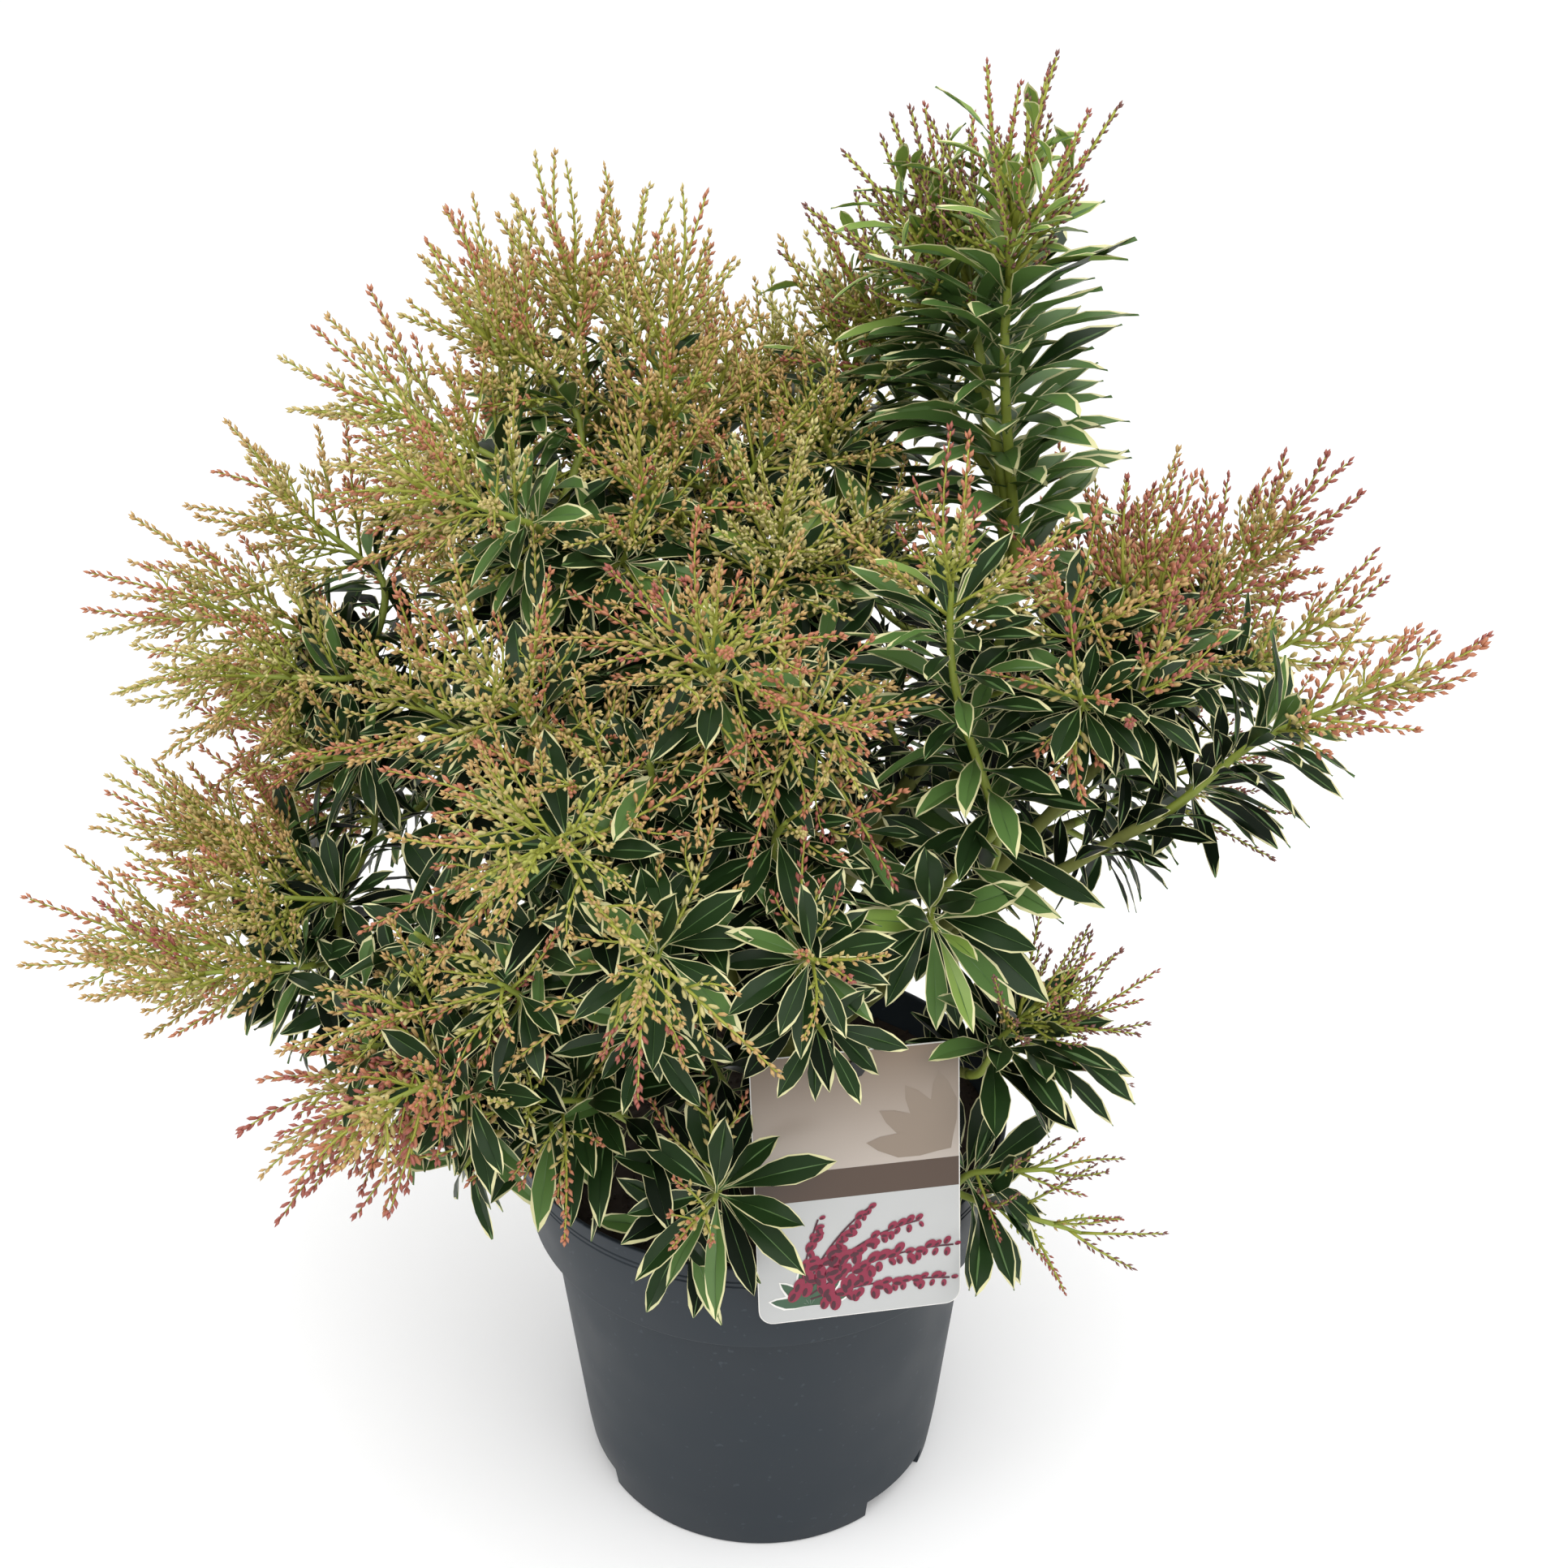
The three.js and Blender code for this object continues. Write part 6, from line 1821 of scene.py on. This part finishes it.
def printed_spray(foot, end, bow, rng):
    """One arching stem with its bells, which hang by turns to either side, and the bells' shaded parts."""
    middle = (foot + end) / 2 + np.array((-bow * SPRIG.sideways, bow))
    line = (foot, middle, end)
    bells = []
    shades = []
    count = round(float(np.linalg.norm(end - foot)) / SPRIG.bell_spacing)
    for k, along in enumerate(shares(count)):
        share = lerp(SPRIG.first_bell, 1.0, along)
        size = lerp(SPRIG.low_bell, SPRIG.high_bell, share) * rng.uniform(*SPRIG.bell_varies)
        aside = rng.uniform(-SPRIG.hang_varies, SPRIG.hang_varies)
        hang = math.radians(aside + SPRIG.hang + SPRIG.other_side * (k % 2))
        drop = np.array((math.cos(hang), math.sin(hang))) * size * SPRIG.hang_drop
        spot = bezier(line, share) + drop
        turn = math.degrees(hang)
        bells.append(oval(*spot, size, size * SPRIG.bell_width, turn, SPRIG.bell_sides))
        dark = spot - np.array(SPRIG.shade_aside) * size
        length, width = SPRIG.shade
        shades.append(oval(*dark, size * length, size * width, turn, SPRIG.shade_sides))
    return ribbon(line, SPRIG.stem), bells, shades


def printed_sprig(sizes, w, h, top, high):
    """A generic print: arching sprays of bells over pale-edged leaves, and leaf shadows above the band."""
    corner = (w + SPRIG.shadow_foot[0], high + SPRIG.shadow_foot[1])
    shadows, _ = printed_leaves(corner, SPRIG.shadow_turns, *SPRIG.shadow)
    printed("label_print_shadows", shadows, 2, ink("Shadow", sizes.shadow))
    foot = np.array((-w + SPRIG.foot[0], -h + SPRIG.foot[1]))
    edges, blades = printed_leaves(foot + SPRIG.leaf_foot, SPRIG.leaf_turns, *SPRIG.leaf)
    printed("label_print_leaf_edges", edges, 2, ink("Cream", sizes.board))
    printed("label_print_leaves", blades, 3, ink("Green", sizes.leaf))
    stems = []
    bells = []
    shades = []
    rng = seeded("print")
    for reach, rise, bow in PRINTED_SPRAYS:
        end = np.array((-w + 2 * w * reach, -h + (top + h) * rise))
        stem, more_bells, more_shades = printed_spray(foot, end, bow, rng)
        stems.append(stem)
        bells += more_bells
        shades += more_shades
    dark = ink("Dark_Crimson", sizes.blossom_dark)
    printed("label_print_stems", stems, 4, dark)
    printed("label_print_bells", bells, 5, ink("Crimson", sizes.blossom))
    printed("label_print_bell_shades", shades, 6, dark)


# -------- stage
STAGE = Sizes(             # metres and degrees, and the camera's sensor in millimetres
    aside=9.0, before=-9.0, behind=10.0, under=-0.0005, looked_at=(0.0, 0.0, 0.4),
    key_at=(0.5, -1.3, 2.2), key_size=1.8, fill_at=(-1.9, -0.6, 1.3), fill_size=1.6,
    camera_at=(0.0136, -0.888, 0.928), camera_tilt=61.5, sensor=36.0
)


def white_sky(low, high):
    """An overcast sky that is weaker towards the horizon."""
    world = bpy.data.worlds.new("Overcast")
    world.use_nodes = True
    tree = world.node_tree
    background = tree.nodes["Background"]
    background.inputs["Color"].default_value = (1.0, 1.0, 1.0, 1.0)
    strength = ranged(tree, height_in(tree, "Generated"), 0.0, 1.0, low, high)
    tree.links.new(strength, background.inputs["Strength"])
    return world


def add_light(name, location, power, size):
    """A square soft light that looks at the shrub's middle."""
    light = bpy.data.lights.new(name, "AREA")
    light.energy = power
    light.size = size
    lamp = placed(name, light)
    lamp.location = location
    ahead = Vector(STAGE.looked_at) - Vector(location)
    lamp.rotation_euler = ahead.to_track_quat("-Z", "Y").to_euler()


class PIERIS_OT_stage(bpy.types.Operator):
    """Sets the pale floor, the soft lights and the camera"""
    bl_idname = "pieris.stage"
    bl_label = "Stage"

    def execute(self, context):
        sizes = context.scene.pieris_stage
        aside, before, behind, under = STAGE.aside, STAGE.before, STAGE.behind, STAGE.under
        mesh = bpy.data.meshes.new("floor")
        mesh.from_pydata([(-aside, before, under), (aside, before, under), (aside, behind, under),
                          (-aside, behind, under)], [], [(0, 1, 2, 3)])
        mesh.materials.append(finish("Matt_White_Paper", sizes.floor, 0.9))
        floor = placed("floor", mesh)
        context.scene.world = white_sky(sizes.low_sky, sizes.high_sky)
        add_light("key", STAGE.key_at, sizes.key, STAGE.key_size)
        add_light("fill", STAGE.fill_at, sizes.fill, STAGE.fill_size)
        camera = bpy.data.cameras.new("camera")
        camera.lens = sizes.lens
        camera.sensor_width = STAGE.sensor
        view = placed("camera", camera)
        view.location = STAGE.camera_at
        view.rotation_euler = (math.radians(STAGE.camera_tilt), 0.0, 0.0)
        context.scene.camera = view
        context.scene.view_settings.view_transform = "Standard"
        return {"FINISHED"}


# -------- add-on
GROUPS = {
    "pieris_pot": PierisPot, "pieris_wood": PierisWood, "pieris_leaves": PierisLeaves,
    "pieris_blossom": PierisBlossom, "pieris_label": PierisLabel, "pieris_stage": PierisStage,
}
OPERATORS = (PIERIS_OT_pot, PIERIS_OT_compost, PIERIS_OT_wood, PIERIS_OT_leaves, PIERIS_OT_blossom,
             PIERIS_OT_label, PIERIS_OT_stage)


class PIERIS_PT_panel(bpy.types.Panel):
    """Lists the shrub's pieces with their sizes and colours"""
    bl_idname = "PIERIS_PT_panel"
    bl_label = "Potted Pieris"
    bl_space_type = "VIEW_3D"
    bl_region_type = "UI"
    bl_category = "Pieris"

    def draw(self, context):
        for operator in OPERATORS:
            self.layout.operator(operator.bl_idname)
        for name, group in GROUPS.items():
            box = self.layout.box()
            for prop in group.__annotations__:
                box.prop(getattr(context.scene, name), prop)


def register():
    for group in GROUPS.values():
        bpy.utils.register_class(group)
    for name, group in GROUPS.items():
        setattr(bpy.types.Scene, name, bpy.props.PointerProperty(type=group))
    for part in (*OPERATORS, PIERIS_PT_panel):
        bpy.utils.register_class(part)


def unregister():
    for part in reversed((*OPERATORS, PIERIS_PT_panel)):
        bpy.utils.unregister_class(part)
    for name, group in reversed(GROUPS.items()):
        delattr(bpy.types.Scene, name)
        bpy.utils.unregister_class(group)


def main():
    register()
    bpy.ops.pieris.pot()
    bpy.ops.pieris.compost()
    bpy.ops.pieris.wood()
    bpy.ops.pieris.leaves()
    bpy.ops.pieris.blossom()
    bpy.ops.pieris.label()
    bpy.ops.pieris.stage()
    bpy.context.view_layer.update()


if __name__ == "__main__":
    main()
